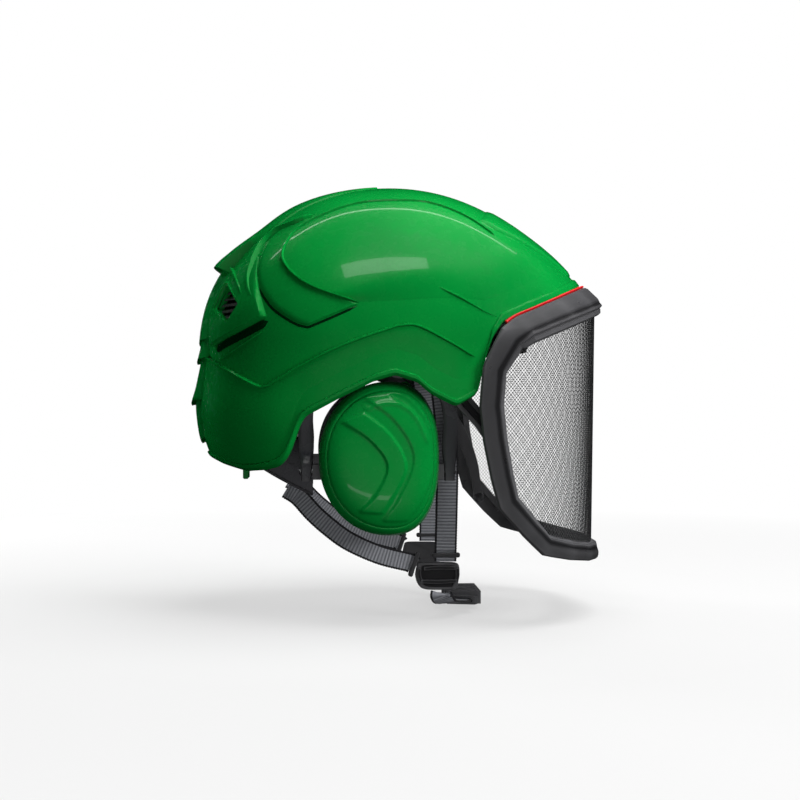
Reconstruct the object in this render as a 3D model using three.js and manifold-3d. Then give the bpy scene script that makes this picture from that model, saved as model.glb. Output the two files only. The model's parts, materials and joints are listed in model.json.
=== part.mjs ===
// Arborist climbing helmet: ventilated outer shell over a foam liner, a mesh face visor that swings up,
// two ear muffs on swing-out hoops, a nape cradle with a tightening knob, and a chin strap with a buckle.
// Millimetres. +X is forward, +Y is to the wearer's left, +Z is up.
// Heights inside the helmet group are measured from the ear line, the level of the shell's front corners.
// The group is then lowered by SEAT_HEIGHT, so that the origin is where the wearer's crown bears on its pad.
import * as THREE from "three";
import { mergeVertices } from "three/addons/utils/BufferGeometryUtils.js";
import Module from "manifold-3d";

const wasm = await Module();
wasm.setup();

// ---------------------------------------------------------------- driving dimensions

const SEAT_HEIGHT = 110; // crown seat above the ear line
const GAP = 0.3; // air between pieces that touch
const SHELL_WALL = 3.5;

// A dome is read by an angle from its crown: 0 at the top, 90 at its widest level, 180 at the skirt's end.
// front, rear and half are its reach from the crown line, before the sine of that angle closes it at the top.
const SHELL = {
  crownX: -7,
  waistZ: 38,
  rise: 113,
  skirt: 98,
  roundness: 2.25,
  front: [[0, 128], [30, 128], [45, 132], [60, 140], [75, 147], [90, 151], [180, 151]],
  rear: [
    [0, 144], [15, 144], [27, 139], [43, 131], [67, 131], [90, 130],
    [116, 132], [128, 134], [145, 133], [153, 131], [162, 126], [180, 104],
  ],
  half: [[0, 113], [90, 113], [116, 113], [153, 109], [180, 104]],
};
const CROWN_COVER = {
  ...SHELL,
  rise: 114,
  front: [[0, 127], [30, 127], [180, 127]],
  rear: [[0, 147], [15, 147], [27, 143], [43, 135], [55, 141], [60, 144], [180, 144]],
};
const HEAD = {
  crownX: -9,
  waistZ: 28,
  rise: 93,
  skirt: 90,
  roundness: 2.3,
  front: [[0, 104], [180, 104]],
  rear: [[0, 103], [90, 106], [180, 100]],
  half: [[0, 85], [180, 85]],
};

// Side view outlines, [x, z].
const SHELL_EDGE = [
  [-170, -34], [-140, -37], [-124, -43], [-108, -46.5], [-94, -45], [-84, -42], [-78.5, -35],
  [-72, -16], [-68, -9.6], [-45, 2.6], [-23, 13.4], [-10, 17], [4.5, 12.5], [13, 5], [29.5, -3.2],
  [44, 4.5], [46, 20], [52, 38], [60, 50], [100, 67], [124, 79], [145, 85], [200, 85], [200, -130], [-170, -130],
];
const LINER_EDGE = [
  [-170, -3], [-98, -3], [-88, 10], [-76, 46], [58, 46], [72, 58], [200, 72], [200, -130], [-170, -130],
];

const VISOR = {
  sideX: 40,
  reach: 103,
  half: 115.5,
  roundness: 2.3,
  lean: 0.015,
  topZ: 60,
  thickness: 4.4,
  pivotX: 0,
  pivotZ: 33,
};
const MUFF = {
  x: -13,
  z: -38,
  front: 32.4,
  rear: 45.6,
  halfHeight: 50,
  hoopX: -19.7,
  leverX: -26,
  leverZ: 48,
  hingeY: 97.1,
  hingeZ: 30,
  pinY: 85.5,
  pinZ: -47,
};
// Layers beside the wearer's ear, measured out from the middle plane: [inner, outer].
const HOOP_LAYER = [81, 90];
const LEVER_LAYER = [95.5, 98.7];
const VISOR_ARM_LAYER = [99.4, 102.6];
const BRACKET_LAYER = [103.4, 106.4];

const STRAP_WIDTH = 15;
const STRAP_THICKNESS = 1.5;

// ---------------------------------------------------------------- materials

const material = (color, roughness, metalness = 0) =>
  new THREE.MeshStandardMaterial({ color, roughness, metalness });
const GREEN = material(0x0b8f2f, 0.22);
const DARK_GREEN = material(0x0a7a2b, 0.3);
const BLACK_PLASTIC = material(0x232427, 0.45);
const FOAM = material(0x1b1c1e, 0.9);
const PAD_FABRIC = material(0x55555a, 0.95);
const CUSHION_SKIN = material(0x1d1e20, 0.6);
const WEBBING = material(0x3c3f46, 0.85);
const STEEL = material(0xa5a8ab, 0.35, 1);
const MESH_STEEL = material(0x6f7276, 0.5, 1);
const RED_RUBBER = material(0xd0202a, 0.6);

// ---------------------------------------------------------------- solids

const v3 = (x, y, z) => new THREE.Vector3(x, y, z);
const radians = THREE.MathUtils.degToRad;

function solidFrom(geometry) {
  const bare = geometry.clone();
  bare.deleteAttribute("normal");
  bare.deleteAttribute("uv");
  const merged = mergeVertices(bare, 1e-4);
  return new wasm.Manifold(
    new wasm.Mesh({
      numProp: 3,
      vertProperties: new Float32Array(merged.attributes.position.array),
      triVerts: new Uint32Array(merged.index.array),
    }),
  );
}

function geometryFrom(solid) {
  const mesh = solid.getMesh();
  const geometry = new THREE.BufferGeometry();
  const position = new Float32Array(mesh.numVert * 3);
  for (let i = 0; i < mesh.numVert; i++) {
    position.set(mesh.vertProperties.subarray(i * mesh.numProp, i * mesh.numProp + 3), i * 3);
  }
  geometry.setAttribute("position", new THREE.BufferAttribute(position, 3));
  geometry.setIndex(new THREE.BufferAttribute(new Uint32Array(mesh.triVerts), 1));
  geometry.computeVertexNormals();
  return geometry;
}

// Leaves out slivers that a cut has parted from the rest.
const largestBody = (solid) => solid.decompose().reduce((best, body) => (body.volume() > best.volume() ? body : best));

// A closed solid through rings of points, joined into a hoop when loop is true, or else capped at both ends.
// A thin ring is a front row followed by a back row the other way, and is capped across from row to row.
function loft(rings, loop = false, thin = false) {
  const count = rings[0].length;
  const points = rings.flat();
  const triangles = [];
  const spans = loop ? rings.length : rings.length - 1;
  for (let i = 0; i < spans; i++) {
    const next = ((i + 1) % rings.length) * count;
    for (let j = 0; j < count; j++) {
      const k = (j + 1) % count;
      triangles.push(i * count + j, i * count + k, next + j, i * count + k, next + k, next + j);
    }
  }
  const ends = [[0, true], [(rings.length - 1) * count, false]];
  if (thin) {
    for (const [start, turned] of ends) {
      for (let j = 0; j < count / 2 - 1; j++) {
        const [a, b] = [start + j, start + j + 1];
        const [c, d] = [start + count - 2 - j, start + count - 1 - j];
        triangles.push(...(turned ? [a, c, b, a, d, c] : [a, b, c, a, c, d]));
      }
    }
  } else if (!loop) {
    for (const [start, turned] of ends) {
      const middle = v3(0, 0, 0);
      for (let j = 0; j < count; j++) middle.addScaledVector(points[start + j], 1 / count);
      const hub = points.push(middle) - 1;
      for (let j = 0; j < count; j++) {
        const pair = [start + j, start + ((j + 1) % count)];
        triangles.push(hub, ...(turned ? pair.reverse() : pair));
      }
    }
  }
  let volume = 0;
  for (let i = 0; i < triangles.length; i += 3) {
    const [a, b, c] = triangles.slice(i, i + 3).map((n) => points[n]);
    volume += a.dot(b.clone().cross(c));
  }
  if (volume < 0) triangles.reverse();
  const geometry = new THREE.BufferGeometry().setFromPoints(points);
  geometry.setIndex(triangles);
  return solidFrom(geometry);
}

// Smooth reading of a table of [key, value] pairs.
function read(table, key) {
  const last = table.length - 1;
  if (key <= table[0][0]) return table[0][1];
  if (key >= table[last][0]) return table[last][1];
  const i = table.findIndex((row) => row[0] > key) - 1;
  const slope = (n) => {
    const a = table[Math.max(0, n - 1)];
    const b = table[Math.min(last, n + 1)];
    return (b[1] - a[1]) / (b[0] - a[0]);
  };
  const span = table[i + 1][0] - table[i][0];
  const t = (key - table[i][0]) / span;
  const ease = t * t * (3 - 2 * t);
  const rise = span * (slope(i) * t * (1 - t) ** 2 - slope(i + 1) * t * t * (1 - t));
  return table[i][1] * (1 - ease) + table[i + 1][1] * ease + rise;
}

const power = (value, exponent) => Math.sign(value) * Math.abs(value) ** exponent;

function domeRing(dome, angle, inset, segments) {
  const sine = angle < 90 ? Math.sin(radians(angle)) : 1;
  const z =
    angle < 90
      ? dome.waistZ + (dome.rise - inset) * Math.cos(radians(angle))
      : dome.waistZ - (dome.skirt * (angle - 90)) / 90;
  const [front, rear, half] = [dome.front, dome.rear, dome.half].map((table) => (read(table, angle) - inset) * sine);
  const square = 2 / (2 + (dome.roundness - 2) * sine);
  return Array.from({ length: segments }, (_, i) => {
    const turn = (i / segments) * 2 * Math.PI;
    const along = power(Math.cos(turn), square);
    return v3(dome.crownX + along * (along > 0 ? front : rear), half * power(Math.sin(turn), square), z);
  });
}

function domeSolid(dome, inset, segments, levels, lastAngle = 180) {
  const rings = Array.from({ length: levels + 1 }, (_, i) =>
    domeRing(dome, Math.max(0.6, (lastAngle * i) / levels), inset, segments),
  );
  return loft(rings);
}

// The bowl and everything fitted inside it share one set of facets.
const headSolid = (inset, dome = HEAD) => domeSolid(dome, inset, 32, 13, 169);

// An outline whose corners are rounded by the given radius, where its sides are long enough.
function roundedShape(outline, radius) {
  const shape = new THREE.Shape();
  const points = outline.map(([x, y]) => new THREE.Vector2(x, y));
  points.forEach((corner, i) => {
    const before = points[(i + points.length - 1) % points.length];
    const after = points[(i + 1) % points.length];
    const toBefore = before.clone().sub(corner);
    const toAfter = after.clone().sub(corner);
    const cut = Math.min(radius, toBefore.length() * 0.45, toAfter.length() * 0.45);
    const start = corner.clone().addScaledVector(toBefore.normalize(), cut);
    const end = corner.clone().addScaledVector(toAfter.normalize(), cut);
    if (i === 0) shape.moveTo(start.x, start.y);
    else shape.lineTo(start.x, start.y);
    shape.quadraticCurveTo(corner.x, corner.y, end.x, end.y);
  });
  shape.closePath();
  return shape;
}

// A side view outline carried across the helmet, from y = low to y = high.
function sidePrism(outline, low, high, radius = 4, curveSegments = 3) {
  const shape = roundedShape(outline, radius);
  const geometry = new THREE.ExtrudeGeometry(shape, { depth: high - low, bevelEnabled: false, curveSegments });
  return solidFrom(geometry.rotateX(Math.PI / 2).translate(0, high, 0));
}

function box(x, y, z) {
  const geometry = new THREE.BoxGeometry(x[1] - x[0], y[1] - y[0], z[1] - z[0]);
  return solidFrom(geometry.translate((x[0] + x[1]) / 2, (y[0] + y[1]) / 2, (z[0] + z[1]) / 2));
}

// Round bars along Y and along X.
function barY(x, z, radius, low, high, segments = 20) {
  const geometry = new THREE.CylinderGeometry(radius, radius, high - low, segments);
  return solidFrom(geometry.translate(x, (low + high) / 2, z));
}

function barX(y, z, radius, low, high, segments = 16) {
  const geometry = new THREE.CylinderGeometry(radius, radius, high - low, segments);
  return solidFrom(geometry.rotateZ(Math.PI / 2).translate((low + high) / 2, y, z));
}

// Stations along a route: every numeric key is smoothed from one station to the next.
function stations(list, steps, loop = false) {
  const at = (i) => (loop ? list[(i + list.length) % list.length] : list[THREE.MathUtils.clamp(i, 0, list.length - 1)]);
  const spans = loop ? list.length : list.length - 1;
  const made = [];
  for (let i = 0; i < spans; i++) {
    const four = [at(i - 1), at(i), at(i + 1), at(i + 2)];
    for (let s = 0; s < steps; s++) made.push(blendStations(four, s / steps));
  }
  if (!loop) made.push({ ...list[list.length - 1] });
  return made;
}

function blendStations([a, b, c, d], t) {
  const mixed = {};
  for (const key of Object.keys(b)) {
    const [p0, p1, p2, p3] = [a[key], b[key], c[key], d[key]];
    mixed[key] =
      p1 + 0.5 * t * (p2 - p0 + t * (2 * p0 - 5 * p1 + 4 * p2 - p3 + t * (3 * (p1 - p2) + p3 - p0)));
  }
  return mixed;
}

// A flat band along points, each with its own outward normal. Its width lies across the route.
function band(centres, normals, widths, thickness) {
  const rings = centres.map((centre, i) => {
    const before = centres[Math.max(0, i - 1)];
    const after = centres[Math.min(centres.length - 1, i + 1)];
    const along = after.clone().sub(before).normalize();
    const across = along.clone().cross(normals[i]).normalize();
    const out = across.clone().cross(along).normalize();
    const width = Array.isArray(widths) ? widths[i] : widths;
    return [[-1, -1], [1, -1], [1, 1], [-1, 1]].map(([a, b]) =>
      centre.clone().addScaledVector(across, (a * width) / 2).addScaledVector(out, (b * thickness) / 2),
    );
  });
  return loft(rings);
}

// ---------------------------------------------------------------- scene graph

const helmet = new THREE.Group();
helmet.position.z = -SEAT_HEIGHT;
const rightSide = new THREE.Group(); // the wearer's right, modelled with y out from the middle plane
rightSide.scale.y = -1;
const leftSide = new THREE.Group();
helmet.add(rightSide, leftSide);

function add(name, solid, look, parent = helmet) {
  const mesh = new THREE.Mesh(geometryFrom(solid), look);
  mesh.name = name;
  parent.add(mesh);
}

function addPair(name, solid, look) {
  add(`${name}_right`, solid, look, rightSide);
  add(`${name}_left`, solid, look, leftSide);
}

// ---------------------------------------------------------------- shell and its covers

function rearVents() {
  const high = { y: [38, 58], z: [64, 84] };
  const low = { y: [24, 40], z: [8, 30] };
  const cuts = [];
  for (const { y, z } of [high, low]) {
    cuts.push(box([-170, -90], y, z), box([-170, -90], [-y[1], -y[0]], z));
  }
  return cuts.reduce((sum, cut) => sum.add(cut));
}

function outerShell() {
  const outer = domeSolid(SHELL, 0, 48, 18);
  const inner = domeSolid(SHELL, SHELL_WALL, 36, 13, 179).add(box([-90, 90], [-70, 70], [-70, -50]));
  return outer.subtract(inner).subtract(sidePrism(SHELL_EDGE, -140, 140, 7)).subtract(rearVents());
}

// A plate that follows a dome, between two offsets from it, inside a limiting solid.
function plateOver(dome, low, high, limit, segments = 48, levels = 18) {
  return domeSolid(dome, -high, segments, levels, 150)
    .intersect(limit)
    .subtract(domeSolid(SHELL, -low, segments, levels, 180));
}

function crownCover() {
  const outline = [[-13, -20], [-13, 20], [-60, 33], [-110, 42], [-134, 40], [-134, -40], [-110, -42], [-60, -33]];
  const geometry = new THREE.ExtrudeGeometry(roundedShape(outline, 10), { depth: 90, bevelEnabled: false });
  return plateOver(CROWN_COVER, GAP, 0, solidFrom(geometry.translate(0, 0, 92)));
}

// Overlapping louvres down the middle of the back: each starts inside the one above and stands prouder.
function rearSpine() {
  const louvres = [
    { z: [42, 82], half: [26, 31], proud: 2.4 },
    { z: [12, 43], half: [23, 27], proud: 4.6 },
    { z: [-12, 13], half: [19, 24], proud: 6.4 },
  ];
  const made = louvres.map(({ z, half, proud }) => {
    const outline = [[-half[0], z[0]], [half[0], z[0]], [half[1], z[1]], [-half[1], z[1]]];
    const geometry = new THREE.ExtrudeGeometry(roundedShape(outline, 5), { depth: 60, bevelEnabled: false });
    geometry.rotateX(Math.PI / 2).rotateZ(Math.PI / 2).translate(-160, 0, 0);
    return plateOver(SHELL, GAP, proud, solidFrom(geometry));
  });
  return made.reduce((sum, louvre) => sum.add(louvre));
}

function headlampHook() {
  const outline = [[-112, -47.4], [-103, -47.4], [-103, -50], [-108, -50.5], [-108, -56], [-112, -56]];
  return sidePrism(outline, -9, 9, 0.8, 1);
}

add("outer_shell", outerShell(), GREEN);
add("crown_vent_cover", crownCover(), GREEN);
add("rear_spine_cover", rearSpine(), GREEN);
add("headlamp_hook", headlampHook(), GREEN);

// ---------------------------------------------------------------- liner and pads

function innerLiner() {
  const body = domeSolid(SHELL, 11.5, 36, 12, 150);
  const bowl = headSolid(0);
  const pocket = box([-80, 58], [93.6, 130], [30, 80]);
  const pockets = pocket.add(pocket.mirror([0, 1, 0]));
  return body.subtract(bowl).subtract(sidePrism(LINER_EDGE, -140, 140, 10)).subtract(pockets);
}

function padAgainst(dome, thickness, limit) {
  return headSolid(GAP, dome).subtract(headSolid(GAP + thickness, dome)).intersect(limit);
}

function crownPad() {
  const outline = [[-52, 0], [-40, 26], [-9, 34], [24, 26], [36, 0], [24, -26], [-9, -34], [-40, -26]];
  const geometry = new THREE.ExtrudeGeometry(roundedShape(outline, 18), { depth: 60, bevelEnabled: false });
  return padAgainst(HEAD, 10.7, solidFrom(geometry.translate(0, 0, 90)));
}

function browPad() {
  const front = box([66, 130], [-46, 46], [47, 74]);
  return padAgainst(HEAD, 8, front);
}

function sidePad() {
  return padAgainst(HEAD, 6.5, sidePrism([[-48, 50], [34, 50], [24, 78], [-38, 78]], 40, 100, 8));
}

// Where a dome's widest level, drawn in by depth, is crossed at an angle round from the front.
function ovalPoint(dome, degrees, depth) {
  const turn = radians(degrees);
  const square = 2 / dome.roundness;
  const along = power(Math.cos(turn), square);
  const reach = along > 0 ? read(dome.front, 90) : read(dome.rear, 90);
  return [dome.crownX + along * (reach - depth), (read(dome.half, 90) - depth) * power(Math.sin(turn), square)];
}

// An upright strip that follows a dome's widest level. low and high give its edges at a share of its length.
function ovalStrip(dome, inset, thickness, low, high, fromDegrees, toDegrees, steps) {
  const rings = Array.from({ length: steps + 1 }, (_, i) => {
    const share = i / steps;
    const degrees = fromDegrees + (toDegrees - fromDegrees) * share;
    const [outX, outY] = ovalPoint(dome, degrees, inset);
    const [inX, inY] = ovalPoint(dome, degrees, inset + thickness);
    const bottom = low(share);
    const top = high(share);
    return [v3(outX, outY, bottom), v3(outX, outY, top), v3(inX, inY, top), v3(inX, inY, bottom)];
  });
  return loft(rings);
}

function headband() {
  const arch = (share) => 6 * Math.sin(Math.PI * share) ** 2;
  return ovalStrip(HEAD, 4, 1.8, (s) => 28 + arch(s), (s) => 43 + arch(s) * 0.3, -128, 128, 44);
}

add("inner_liner", innerLiner(), FOAM);
add("crown_pad", crownPad(), PAD_FABRIC);
add("brow_pad", browPad(), PAD_FABRIC);
addPair("side_pad", sidePad(), PAD_FABRIC);
add("headband", headband(), BLACK_PLASTIC);

const NAPE = { ...HEAD, half: [[0, 75], [180, 75]] };
const KNOB = { x: -118.6, z: -20, radius: 14, depth: 9 };
const dip = (share) => 30 * (2 * Math.abs(share - 0.5)) ** 1.4; // the cradle's ends hang lower than its middle


// ---------------------------------------------------------------- side bracket: carries visor and muff

function sideBracket() {
  const [low, high] = BRACKET_LAYER;
  const outline = [[-40, 39], [-34, 54], [16, 56], [26, 46], [13, 14], [-13, 14], [-19, 33], [-38, 33]];
  const plate = sidePrism(outline, low, high, 6);
  const linerBosses = [-8, 16].map((x) => barY(x, 50.5, 3.6, 93.9, low + 0.5, 14));
  const leverBoss = barY(MUFF.leverX, MUFF.leverZ, 6.5, LEVER_LAYER[1] + GAP, low + 0.5, 20);
  const bores = barY(MUFF.leverX, MUFF.leverZ, 3, 90, 110).add(barY(VISOR.pivotX, VISOR.pivotZ, 3, 90, 110));
  return [...linerBosses, leverBoss].reduce((sum, boss) => sum.add(boss), plate).subtract(bores);
}

function pivotPin(x, z, headInner, headOuter) {
  const head = barY(x, z, 6, headInner, headOuter);
  return head.add(barY(x, z, 2.8, headOuter - 0.2, BRACKET_LAYER[1] + 0.4));
}

addPair("side_bracket", sideBracket(), BLACK_PLASTIC);
addPair("visor_pivot_pin", pivotPin(VISOR.pivotX, VISOR.pivotZ, 97.4, VISOR_ARM_LAYER[0] - GAP), STEEL);
addPair("muff_pivot_pin", pivotPin(MUFF.leverX, MUFF.leverZ, 93.9, LEVER_LAYER[0] - GAP), STEEL);

// ---------------------------------------------------------------- visor

// A point on the visor's outer surface, drawn in by inset, at an angle round from the front middle.
function visorPoint(turn, z, inset) {
  const reach = VISOR.reach - VISOR.lean * (VISOR.topZ - z) - inset;
  const square = 2 / VISOR.roundness;
  return v3(
    VISOR.sideX + reach * power(Math.cos(turn), square),
    (VISOR.half - inset) * power(Math.sin(turn), square),
    z,
  );
}

// The angle round from the front middle at which the outer surface passes a given x.
function visorTurn(x, z) {
  const reach = VISOR.reach - VISOR.lean * (VISOR.topZ - z);
  return Math.acos(THREE.MathUtils.clamp((x - VISOR.sideX) / reach, 0, 1) ** (VISOR.roundness / 2));
}

// Middle line of the frame's bars down one side, from the top front to the bottom front.
// lean tips a bar back over the shell, width is across the bar, inset draws it in towards the wearer.
const VISOR_LINE = [
  { x: 142.9, z: 72.9, lean: 45, width: 18, inset: 7 },
  { x: 142, z: 72.6, lean: 45, width: 18, inset: 7 },
  { x: 138, z: 71.5, lean: 45, width: 18, inset: 7 },
  { x: 126, z: 67.5, lean: 45, width: 18, inset: 6.8 },
  { x: 108, z: 61, lean: 45, width: 18, inset: 6.4 },
  { x: 88, z: 53, lean: 42, width: 18, inset: 5.6 },
  { x: 72, z: 45, lean: 30, width: 17, inset: 4.2 },
  { x: 61, z: 34, lean: 12, width: 15, inset: 2.8 },
  { x: 53, z: 18, lean: 0, width: 14, inset: 2.5 },
  { x: 51.5, z: -4, lean: 0, width: 14, inset: 2.5 },
  { x: 54, z: -26, lean: 0, width: 14, inset: 2.5 },
  { x: 59, z: -50, lean: 0, width: 13.5, inset: 2.5 },
  { x: 64.5, z: -67, lean: 0, width: 13, inset: 2.5 },
  { x: 72, z: -79, lean: 0, width: 12.5, inset: 2.5 },
  { x: 81, z: -88.5, lean: 0, width: 12, inset: 2.5 },
  { x: 93, z: -96, lean: 0, width: 11.5, inset: 2.5 },
  { x: 110, z: -101, lean: 0, width: 11, inset: 2.5 },
  { x: 126, z: -104, lean: 0, width: 10.5, inset: 2.5 },
  { x: 136, z: -105, lean: 0, width: 10.5, inset: 2.5 },
  { x: 139.5, z: -105, lean: 0, width: 10.5, inset: 2.5 },
  { x: 140.4, z: -105, lean: 0, width: 10.5, inset: 2.5 },
];
// Edge of the wire mesh behind the frame, the smallest x at each height.
const MESH_EDGE = [
  [-103.8, 140], [-103.4, 138.6], [-102.8, 136], [-98, 117], [-92, 95], [-86, 84], [-77, 76], [-66, 68], [-47, 62], [-10, 56.5],
  [14, 55], [22, 57], [32, 64], [38.5, 74], [45.5, 88], [50.5, 100], [60, 124], [64.6, 135],
  [66, 139.5], [66.5, 141.6],
];
const MESH_INSET = [5.3, 6];
const RETAINER_INSET = [7, 8.4];
const OPENING_Z = -19; // the height the mesh is drawn in towards

// A line down one side becomes a hoop round the whole visor.
function visorHoop(line, steps) {
  const other = line.slice(1, -1).reverse();
  const all = [...line.map((s) => [s, 1]), ...other.map((s) => [s, -1])].map(([s, side]) => {
    const p = visorPoint(visorTurn(s.x, s.z), s.z, s.inset);
    return { x: p.x, y: p.y * side, z: p.z, lean: s.lean, width: s.width };
  });
  return stations(all, steps, true);
}

function visorNormal(p) {
  const square = 2 / VISOR.roundness;
  const turn = Math.atan2(
    power(p.y / VISOR.half, 1 / square),
    power(Math.max(0, p.x - VISOR.sideX) / VISOR.reach, 1 / square),
  );
  const slope = 2 - square;
  return v3(power(Math.cos(turn), slope) / VISOR.reach, power(Math.sin(turn), slope) / VISOR.half, 0).normalize();
}

// The directions across a bar (away from the opening) and out through its face.
function barAxes(ring, i) {
  const p = ring[i];
  const before = ring[(i + ring.length - 1) % ring.length];
  const after = ring[(i + 1) % ring.length];
  const along = v3(after.x - before.x, after.y - before.y, after.z - before.z).normalize();
  const across = visorNormal(p).cross(along).normalize();
  const out = along.clone().cross(across).normalize();
  across.applyAxisAngle(along, -radians(p.lean));
  out.applyAxisAngle(along, -radians(p.lean));
  return { centre: v3(p.x, p.y, p.z), across, out };
}

function hoopSolid(ring, section, keep = () => true, loop = true) {
  const rings = [];
  ring.forEach((p, i) => {
    if (!keep(p)) return;
    const { centre, across, out } = barAxes(ring, i);
    rings.push(section(p).map(([a, b]) => centre.clone().addScaledVector(across, a).addScaledVector(out, b)));
  });
  return loft(rings, loop);
}

function visorFrame() {
  const t = VISOR.thickness / 2;
  const section = ({ width }) => {
    const w = width / 2;
    return [[-w, -t], [w, -t], [w, t - 1.2], [w - 2, t], [-w + 2, t], [-w, t - 1.2]];
  };
  return hoopSolid(visorHoop(VISOR_LINE, 2), section);
}

// A curved sheet behind the frame, its rows running from one side to the other, its edge drawn in by trim.
function visorSheet([low, high], trim) {
  const rings = MESH_EDGE.map(([edgeZ, edgeX]) => {
    const z = edgeZ - (trim * (edgeZ - OPENING_Z)) / (MESH_EDGE.at(-1)[0] - OPENING_Z);
    const reach = visorTurn(Math.min(edgeX + trim, 141.4), z);
    const turns = Array.from({ length: 25 }, (_, i) => reach * (1 - i / 12));
    const face = (inset) => turns.map((turn) => visorPoint(turn, z, inset));
    return [...face(low), ...face(high).reverse()];
  });
  return loft(rings, false, true);
}

const visorMesh = () => visorSheet(MESH_INSET, 0);
const meshRetainer = () => largestBody(visorSheet(RETAINER_INSET, 2).subtract(visorSheet([5, 10], 6)));

function edgeSeal() {
  const ring = visorHoop(VISOR_LINE, 2);
  const start = ring.findIndex((p) => p.y < 0 && p.z > 40);
  const turned = [...ring.slice(start), ...ring.slice(0, start)];
  const section = ({ width }) => {
    const w = width / 2 + GAP;
    return [[w, -0.6], [w + 1.5, -0.6], [w + 1.5, 1], [w, 1]];
  };
  return hoopSolid(turned, section, (p) => p.z > 43, false);
}

// A side view outline from a route with a width at each point.
function routeOutline(route) {
  const sides = [1, -1].map((side) =>
    route.map(([x, z, width], i) => {
      const before = route[Math.max(0, i - 1)];
      const after = route[Math.min(route.length - 1, i + 1)];
      const along = new THREE.Vector2(after[0] - before[0], after[1] - before[1]).normalize();
      return [x - (along.y * side * width) / 2, z + (along.x * side * width) / 2];
    }),
  );
  return [...sides[0], ...sides[1].reverse()];
}

const ARM_FOOT = { x: 69, z: -77, radius: 4 };

function visorArm() {
  const [low, high] = VISOR_ARM_LAYER;
  const route = [
    [0, 33, 15], [14, 25, 13.5], [25, 12.5, 12], [36, -2, 11], [48, -16, 10],
    [57.5, -33, 9.5], [64, -51, 8.5], [67, -66, 7], [ARM_FOOT.x, ARM_FOOT.z, 7],
  ];
  const arm = sidePrism(routeOutline(route), low, high, 4);
  const hub = barY(VISOR.pivotX, VISOR.pivotZ, 9.5, low, high, 28);
  const foot = barY(ARM_FOOT.x, ARM_FOOT.z, ARM_FOOT.radius, low, 104.2, 18);
  const bores = barY(VISOR.pivotX, VISOR.pivotZ, 3.1, 90, 110).add(barY(ARM_FOOT.x, ARM_FOOT.z, 1.8, 90, 104.2 - 1));
  return arm.add(hub).add(foot).subtract(bores);
}

function armRivet() {
  const head = barY(ARM_FOOT.x, ARM_FOOT.z, 3.2, VISOR_ARM_LAYER[0] - GAP - 1.2, VISOR_ARM_LAYER[0] - GAP, 16);
  return head.add(barY(ARM_FOOT.x, ARM_FOOT.z, 1.5, VISOR_ARM_LAYER[0] - 0.5, 102.8, 16));
}

add("visor_frame", visorFrame(), BLACK_PLASTIC);
add("visor_mesh", visorMesh(), MESH_STEEL);
add("mesh_retainer", meshRetainer(), BLACK_PLASTIC);
add("visor_edge_seal", edgeSeal(), RED_RUBBER);
addPair("visor_arm", visorArm(), BLACK_PLASTIC);
addPair("visor_arm_rivet", armRivet(), STEEL);

// ---------------------------------------------------------------- ear muffs

// The cup's outline, fuller in front than behind, grown or drawn in all round, at a share of its size.
function cupRing(y, share, grow, segments) {
  return Array.from({ length: segments }, (_, i) => {
    const turn = (i / segments) * 2 * Math.PI;
    const [reach, square] = Math.cos(turn) > 0 ? [MUFF.front, 2 / 2.4] : [MUFF.rear, 2 / 2.05];
    return v3(
      MUFF.x + (reach * share + grow) * power(Math.cos(turn), square),
      y,
      MUFF.z + (MUFF.halfHeight * share + grow) * power(Math.sin(turn), square),
    );
  });
}

const cupLoft = (rows, grow, segments = 32) => loft(rows.map(([y, share]) => cupRing(y, share, grow, segments)));

function muffCup() {
  const outside = [[92, 1], [98, 1], [103.5, 0.95], [108, 0.86], [111.4, 0.7], [113.3, 0.48], [114, 0.2]];
  const inside = [[91, 1], [98, 0.99], [102.5, 0.93], [106.5, 0.82], [109.2, 0.62], [110.6, 0.3]];
  return cupLoft(outside, 0).subtract(cupLoft(inside, -3));
}

const PIN_LUGS = [[17.4, 23.3], [-62.7, -56]];

function muffPlate() {
  const plate = cupLoft([[89, 1], [91.7, 1]], 0);
  const lugs = PIN_LUGS.map((x) => box(x, [MUFF.pinY - 5, 91.7], [MUFF.pinZ - 5, MUFF.pinZ + 5]));
  const bore = PIN_LUGS.map((x) => barX(MUFF.pinY, MUFF.pinZ, 2.3, x[0] - 1, x[1] + 1));
  return plate.add(lugs[0]).add(lugs[1]).subtract(cupLoft([[88, 0.6], [93, 0.6]], 0)).subtract(bore[0]).subtract(bore[1]);
}

function muffCushion() {
  const body = cupLoft([[88.7, 0.96], [85, 1], [78, 0.99], [74.6, 0.93], [74, 0.85]], -3);
  return body.subtract(cupLoft([[70, 0.63], [90, 0.63]], 0));
}

const EAR_ROOTS = [[-40, -33.3], [-18.7, -12]];

function muffHoop() {
  const outer = [[-50.6, -53], [-50.6, -6], [-38, 17], [-22, 25], [22, 25], [38, 17], [50.6, -6], [50.6, -53]];
  const inner = [[43.6, -53], [43.6, -8], [33, 12], [19, 18], [-19, 18], [-33, 12], [-43.6, -8], [-43.6, -53]];
  const outline = [...outer, ...inner].map(([x, z]) => [x + MUFF.hoopX, z]);
  const ears = EAR_ROOTS.map((x) => box(x, [88, 96.5], [20, 31]).add(barX(MUFF.hingeY, MUFF.hingeZ, 3.8, ...x)));
  const bores = barX(MUFF.hingeY, MUFF.hingeZ, 2.1, -60, 10).add(barX(MUFF.pinY, MUFF.pinZ, 2.3, -90, 40));
  const slimRear = box([-90, -59.5], [85.4, 95], [-36, 12]); // clears the shell as the hoop swings out
  const clearOfStrap = box([-4, 36], [80, 82.4], [-16, 30]);
  const bar = sidePrism(outline, ...HOOP_LAYER, 9, 5).subtract(slimRear).subtract(clearOfStrap);
  return bar.add(ears[0]).add(ears[1]).subtract(bores);
}

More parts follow.
